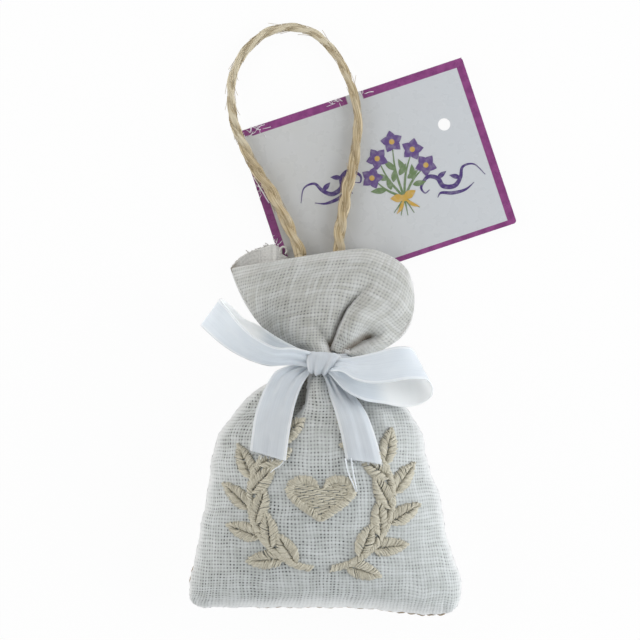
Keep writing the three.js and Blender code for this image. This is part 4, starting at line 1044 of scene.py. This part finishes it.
knot, _, knot_length = ribbon_piece("ribbon_knot_wrap", [
    ((-5.0, 38.0, 17.6), (3.6, 37.8, 17.6)), ((-5.0, 39.0, 19.4), (3.8, 38.4, 19.4)),
    ((-4.9, 38.8, 21.2), (3.5, 38.1, 21.2)), ((-4.8, 37.3, 21.9), (2.9, 36.9, 22.0)),
    ((-4.7, 35.7, 21.9), (2.0, 35.3, 22.0)), ((-4.5, 34.2, 21.2), (1.0, 33.9, 21.4)),
    ((-4.4, 33.4, 19.6), (0.6, 33.1, 19.6)), ((-4.3, 34.0, 17.7), (0.7, 33.8, 17.7))], -1, 0.55, "pouch",
    "ribbon_knot", curl=1.0)

# Card: a small printed card with a purple edge line, laminated and glossy, with a punched hole. It is only tucked
# into the mouth, and its corner lies inside. Where the twine rubs on its edge, the ink is worn off and the film has
# torn into fine white hairs.
card_half_x, card_half_y, card_low, card_high = 28.85, 21.3, 1.35, 1.75
card_middle, card_turn = np.array((12.5, 81.2)), math.radians(18.45)
hole_x, hole_y, hole_radius = 19.55, 7.1, 1.5
edge_line_width, line_bleed = 2.0, 0.12
right_leg_x, rubbed_half = 0.85, 1.8
laminate, tree, shader = new_material("laminated card", (0.60, 0.61, 0.63), 0.3, Specular_IOR_Level=0.45)
place = flat_map(tree)
card_x, card_y = parted(place)
to_side = less(card_half_x, maths("ABSOLUTE", card_x))
to_end = maths("MINIMUM", less(card_half_y, card_y), scaled(card_y, 1.6, 1.6 * card_half_y))
to_edge = maths("MINIMUM", to_side, to_end)
# Painted reflection: the paper is painted paler and bluer towards the card's right end.
paper_with_painted_reflection = blended(ranged(card_x, -24.0, 26.0), (0.595, 0.60, 0.59), (0.615, 0.645, 0.675))
paper = blended(ranged(noise(place, 0.12, 3.0), 0.35, 0.7, 0.0, 0.3), paper_with_painted_reflection, (0.63, 0.64, 0.66))
edge_line = times(ranged(to_edge, edge_line_width, edge_line_width + line_bleed, 1.0, 0.0),
                  ranged(to_edge, -0.02, 0.1))
purple = two_toned(noise(place, 0.5, 3.0), (0.19, 0.030, 0.155), (0.27, 0.055, 0.215), 0.3, 0.7)
rubbed_top = times(ranged(maths("ABSOLUTE", less(card_x, right_leg_x)), rubbed_half, rubbed_half + 0.4, 1.0, 0.0),
                   ranged(card_y, 18.0, 18.5))
rubbed_side = times(ranged(card_y, 10.8, 12.0), ranged(card_y, 19.3, 19.9, 1.0, 0.0),
                    ranged(card_x, -26.0, -25.5, 1.0, 0.0))
kept_ink = less(1.0, maths("MAXIMUM", rubbed_top, rubbed_side))
bordered = blended(times(edge_line, kept_ink), paper, purple)
connect(shader, Base_Color=blended(ranged(to_edge, -0.5, -0.1, 1.0, 0.0), bordered, (0.80, 0.80, 0.80)),
        Roughness=ranged(noise(place, 0.3, 3.0), 0.3, 0.7, 0.24, 0.36), Normal=raised(noise(place, 0.09), 0.1, 0.001))


def on_card(places, height):
    places = np.asarray(places, float)
    cos, sin = math.cos(card_turn), math.sin(card_turn)
    return np.stack([card_middle[0] + places[:, 0] * cos - places[:, 1] * sin,
                     card_middle[1] + places[:, 0] * sin + places[:, 1] * cos, np.full(len(places), height)], axis=1)


corners = [(sx * (card_half_x - cut_x), sy * (card_half_y - cut_y)) for sx in (1, -1) for sy in (1, -1)
           for cut_x, cut_y in ((0.0, 0.7), (0.0, 0.0), (0.7, 0.0))]
angles = sorted([math.atan2(y - hole_y, x - hole_x) for x, y in corners] + list(np.linspace(-3.1, 3.1, 60)))
hole_edge, outline = [], []
for angle in angles:
    cos, sin = math.cos(angle), math.sin(angle)
    reach = min(((card_half_x if cos > 0 else -card_half_x) - hole_x) / cos if abs(cos) > 1e-9 else 1e9,
                ((card_half_y if sin > 0 else -card_half_y) - hole_y) / sin if abs(sin) > 1e-9 else 1e9)
    hole_edge.append((hole_x + hole_radius * cos, hole_y + hole_radius * sin))
    outline.append((hole_x + reach * cos, hole_y + reach * sin))
hole_edge, outline = np.array(hole_edge), np.array(outline)
on_edge = np.sign(outline) * (np.abs(np.abs(outline) - (card_half_x, card_half_y)) < 1e-6)
outline -= on_edge * 0.22 * np.all(on_edge, axis=1, keepdims=True)
inset, outside_flat = outline - on_edge * 0.06, outline + on_edge * 0.6
card_rings = [(hole_edge, card_high, hole_edge), (inset, card_high, inset), (outline, card_high - 0.06, outside_flat),
              (outline, card_low + 0.06, outside_flat), (inset, card_low, inset), (hole_edge, card_low, hole_edge)]
card_points = np.concatenate([on_card(ring, height) for ring, height, _ in card_rings])
card_places = np.concatenate([flat for _, _, flat in card_rings])
card = mesh_piece("laminated_card", card_points, closed_faces(len(card_rings), len(angles)), card_places, laminate,
                  "card", smooth_faces=False)
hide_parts("label_card")

torn_film, tree, shader = new_material("torn film", (0.86, 0.84, 0.87), 0.45)
milky = noise(joined(*parted(flat_map(tree))), 0.8)
connect(shader, Base_Color=two_toned(milky, (0.78, 0.74, 0.79), (0.92, 0.91, 0.93)))
chance = np.random.default_rng(13)
film_height, hair_radius, wide_hair_radius = card_high + 0.05, 0.075, 0.2
scuffed = ((-25.4, 20.2, 2.8, 0.9, 16), (-3.0, 20.2, 1.9, 0.6, 9), (2.9, 20.2, 0.5, 0.9, 5),
           (-27.9, 6.6, 0.6, 2.2, 10), (-27.9, -7.0, 0.6, 1.6, 6))
hairs = []
for spot_x, spot_y, reach_x, reach_y, count in scuffed:
    for _ in range(count):
        start = np.array((spot_x, spot_y)) + chance.normal(0, 0.5, 2) * (reach_x, reach_y)
        heading, bend = chance.uniform(0, 360), chance.uniform(-70, 70)
        steps = np.array([turned(heading + bend * s) for s in np.linspace(0, 1, 8)]) * chance.uniform(0.12, 0.34)
        line = np.clip(start + np.cumsum(steps, axis=0), (-card_half_x, -card_half_y), (card_half_x, card_half_y))
        hairs.append(on_card(line, film_height))
hairs.append(on_card(np.linspace((-28.5, 9.6), (-27.0, 2.4), 16), film_height))
hair_radii = [hair_radius] * (len(hairs) - 1) + [wide_hair_radius]
thread_piece("card_scuffs", hairs, hair_radii, 5, torn_film, "card")

# Print on the card: a posy of simple five-petalled flowers between two curls, in violet, leaf green and yellow ink.
# The ink lies on the face of the card in thin layers, the later over the earlier.
print_lift, ink_layer = 0.03, 0.006
violet, green, yellow, dark_violet = range(4)
ink_colours = {"violet ink": (0.105, 0.055, 0.20), "green ink": (0.13, 0.20, 0.085),
               "yellow ink": (0.55, 0.34, 0.06), "dark violet ink": (0.055, 0.024, 0.15)}
inks = []
for name, colour in ink_colours.items():
    ink, tree, shader = new_material(name, colour, 0.32)
    worn = noise(flat_map(tree), 0.9, 4.0)
    pale = tuple(0.72 * c + 0.28 * 0.6 for c in colour)
    connect(shader, Base_Color=blended(ranged(worn, 0.40, 0.75, 0.0, 0.8), colour, pale))
    inks.append(ink)
print_points, print_layers, print_faces, print_inks = [], [], [], []


def printed(outline, ink, layer):
    start = len(print_points)
    print_points.extend(outline)
    print_layers.extend([layer] * len(outline))
    print_faces.append(list(range(start, start + len(outline))))
    print_inks.append(ink)


def printed_line(route, widest, ink, layer):
    # An ink line that swells in its middle
    route = smooth(np.arange(len(route)), route)(np.linspace(0, len(route) - 1, 12 * len(route)))
    ahead = unit(np.gradient(route, axis=0))
    half = (0.09 + widest / 2 * np.sin(np.linspace(0, np.pi, len(route))) ** 1.5)[:, None]
    aside = np.stack([-ahead[:, 1], ahead[:, 0]], axis=1) * half
    for i in range(len(route) - 1):
        printed([route[i] - aside[i], route[i + 1] - aside[i + 1], route[i + 1] + aside[i + 1], route[i] + aside[i]],
                ink, layer)


def printed_leaf(x, y, heading, length, width, ink, layer):
    ahead, aside = turned(heading), turned(heading + 90)
    shares = np.linspace(0, 1, 12)
    half = width / 2 * np.sin(np.pi * shares ** 0.8)
    right, left = ([np.array((x, y)) + ahead * length * s + hand * aside * h for s, h in zip(shares, half)]
                   for hand in (-1, 1))
    printed(right + left[-2:0:-1], ink, layer)


def printed_flower(x, y, size, heading, ink, layer):
    for petal in range(5):
        printed_leaf(x, y, heading + 72 * petal, size, size * 0.78, ink, layer + 0.2 * petal)
    printed([np.array((x, y)) + size * 0.24 * turned(a) for a in range(0, 360, 30)], yellow, layer + 1)


posy = np.array((4.6, -6.8))
for number, (heading, length) in enumerate(((62, 12.0), (84, 14.0), (106, 11.6), (38, 9.6), (130, 9.2))):
    tip = posy + turned(heading) * length
    middle = (posy + tip) / 2 + turned(heading + 90) * 0.6
    printed_line([posy + turned(heading + 180) * 4.4, posy, middle, tip], 0.4, green, 0.2 * number)
    printed_leaf(*middle, heading + 38, 4.0, 1.5, green, 2 + 0.2 * number)
    printed_leaf(*(posy * 0.6 + tip * 0.4), heading - 42, 3.4, 1.4, green, 3 + 0.2 * number)
    printed_flower(*tip, 2.8, heading, violet, 4 + 1.2 * (number % 2))
for hand in (-1, 1):
    printed_leaf(*posy, 90 + hand * 75, 3.4, 2.0, yellow, 7)
    printed_line([posy, posy + (hand * 1.4, -2.0), posy + (hand * 2.9, -3.2)], 0.7, yellow, 7.2 + 0.1 * hand)
printed([posy + 0.85 * turned(a) for a in range(0, 360, 30)], yellow, 7.6)
long_curl = [(-8.2, -1.6), (-6.4, 1.6), (-3.6, 1.9), (-2.2, -0.4), (-0.2, -1.9), (2.4, -1.1), (3.2, 1.2), (5.4, 2.2),
             (7.6, 0.4), (7.2, -1.3), (5.9, -0.9)]
short_curl = [(-5.0, -2.6), (-2.4, -3.6), (0.8, -3.4), (3.4, -2.5), (4.6, -3.3)]
for middle_x, middle_y, hand in ((-11.5, 1.5, 1), (17.0, -6.0, -1)):
    for curl, widest in ((long_curl, 1.0), (short_curl, 0.7)):
        printed_line([(middle_x + hand * x, middle_y + y) for x, y in curl], widest, dark_violet, 0)
    printed_leaf(middle_x + hand * -2.2, middle_y - 0.4, 90 - hand * 60, 2.8, 1.2, dark_violet, 1)
    printed_leaf(middle_x + hand * 3.2, middle_y + 1.2, 90 + hand * 70, 2.8, 1.2, dark_violet, 1)
print_places = on_card(print_points, card_high + print_lift)
print_places[:, 2] += ink_layer * np.array(print_layers)
art = mesh_piece("card_print", print_places, print_faces, np.array(print_points), inks[0], "card",
                 smooth_faces=False)
for ink in inks[1:]:
    art.data.materials.append(ink)
art.data.polygons.foreach_set("material_index", np.array(print_inks, dtype=np.int32))

# Floor, light and camera: a white table seen from straight above, with soft light from all round and a little from
# above, so that the edges of the cloth are brighter than its top.
floor_reach, floor_drop = 3, -0.0002
table_glow, room_light = 0.95, 0.18
floor_mesh = bpy.data.meshes.new("floor")
floor_corners = [(floor_reach * x, floor_reach * y, floor_drop) for x, y in ((-1, -1), (1, -1), (1, 1), (-1, 1))]
floor_mesh.from_pydata(floor_corners, [], [(0, 1, 2, 3)])
floor = bpy.data.objects.new("floor", floor_mesh)
bpy.context.scene.collection.objects.link(floor)
white_table, tree, shader = new_material("white table", (0.9, 0.9, 0.9), 0.9, Specular_IOR_Level=0.0)
floor_mesh.materials.append(white_table)


def seen_rays(tree):
    # 1 for rays that end in the picture, and 0 for those that light the sachet
    rays = tree.nodes.new("ShaderNodeLightPath").outputs
    straight_or_mirrored = plus(rays["Is Camera Ray"], rays["Is Glossy Ray"])
    return maths("MINIMUM", plus(straight_or_mirrored, rays["Is Transmission Ray"]), 1.0)


glow = tree.nodes.new("ShaderNodeEmission")
show = tree.nodes.new("ShaderNodeMixShader")
for socket, value in zip(show.inputs, (times(seen_rays(tree), table_glow), shader.outputs[0], glow.outputs[0])):
    feed(socket, value)
feed(tree.nodes["Material Output"].inputs["Surface"], show.outputs[0])

world = bpy.data.worlds.new("studio")
bpy.context.scene.world = world
world.use_nodes = True
tree = world.node_tree
connect(tree.nodes["Background"], Color=(0.97, 0.985, 1.0),
        Strength=scaled(seen_rays(tree), 1.0 - room_light, room_light))


def lamp(name, place, aim, size, power, colour):
    light = bpy.data.lights.new(name, "AREA")
    light.shape = "DISK"
    light.size = size
    light.energy = power
    light.color = colour
    holder = bpy.data.objects.new(name, light)
    bpy.context.scene.collection.objects.link(holder)
    holder.location = place
    holder.rotation_euler = (Vector(aim) - Vector(place)).to_track_quat("-Z", "Y").to_euler()


sachet_middle, lamp_size = (0.0, 0.035, 0.012), 0.9
lamp("left softbox", (-0.78, 0.12, 0.32), sachet_middle, lamp_size, 5.1, (1.0, 0.985, 0.965))
lamp("right softbox", (0.78, 0.05, 0.32), sachet_middle, lamp_size, 7.6, (0.97, 0.985, 1.0))
lamp("low softbox", (0.05, -0.78, 0.30), sachet_middle, lamp_size, 2.5, (0.96, 0.985, 1.0))
lamp("top softbox", (-0.1, 0.80, 0.42), sachet_middle, lamp_size, 2.0, (1.0, 0.98, 0.95))

camera_data = bpy.data.cameras.new("camera")
camera = bpy.data.objects.new("camera", camera_data)
bpy.context.scene.collection.objects.link(camera)
camera_height, frame_width, sensor_width = 1.0, 0.1564, 36.0
camera.location = (-0.0015, 0.0464, camera_height)
camera_data.sensor_width = sensor_width
camera_data.lens = sensor_width * camera_height / frame_width
camera_data.clip_start = 0.01
bpy.context.scene.camera = camera
bpy.context.scene.view_settings.view_transform = "Standard"
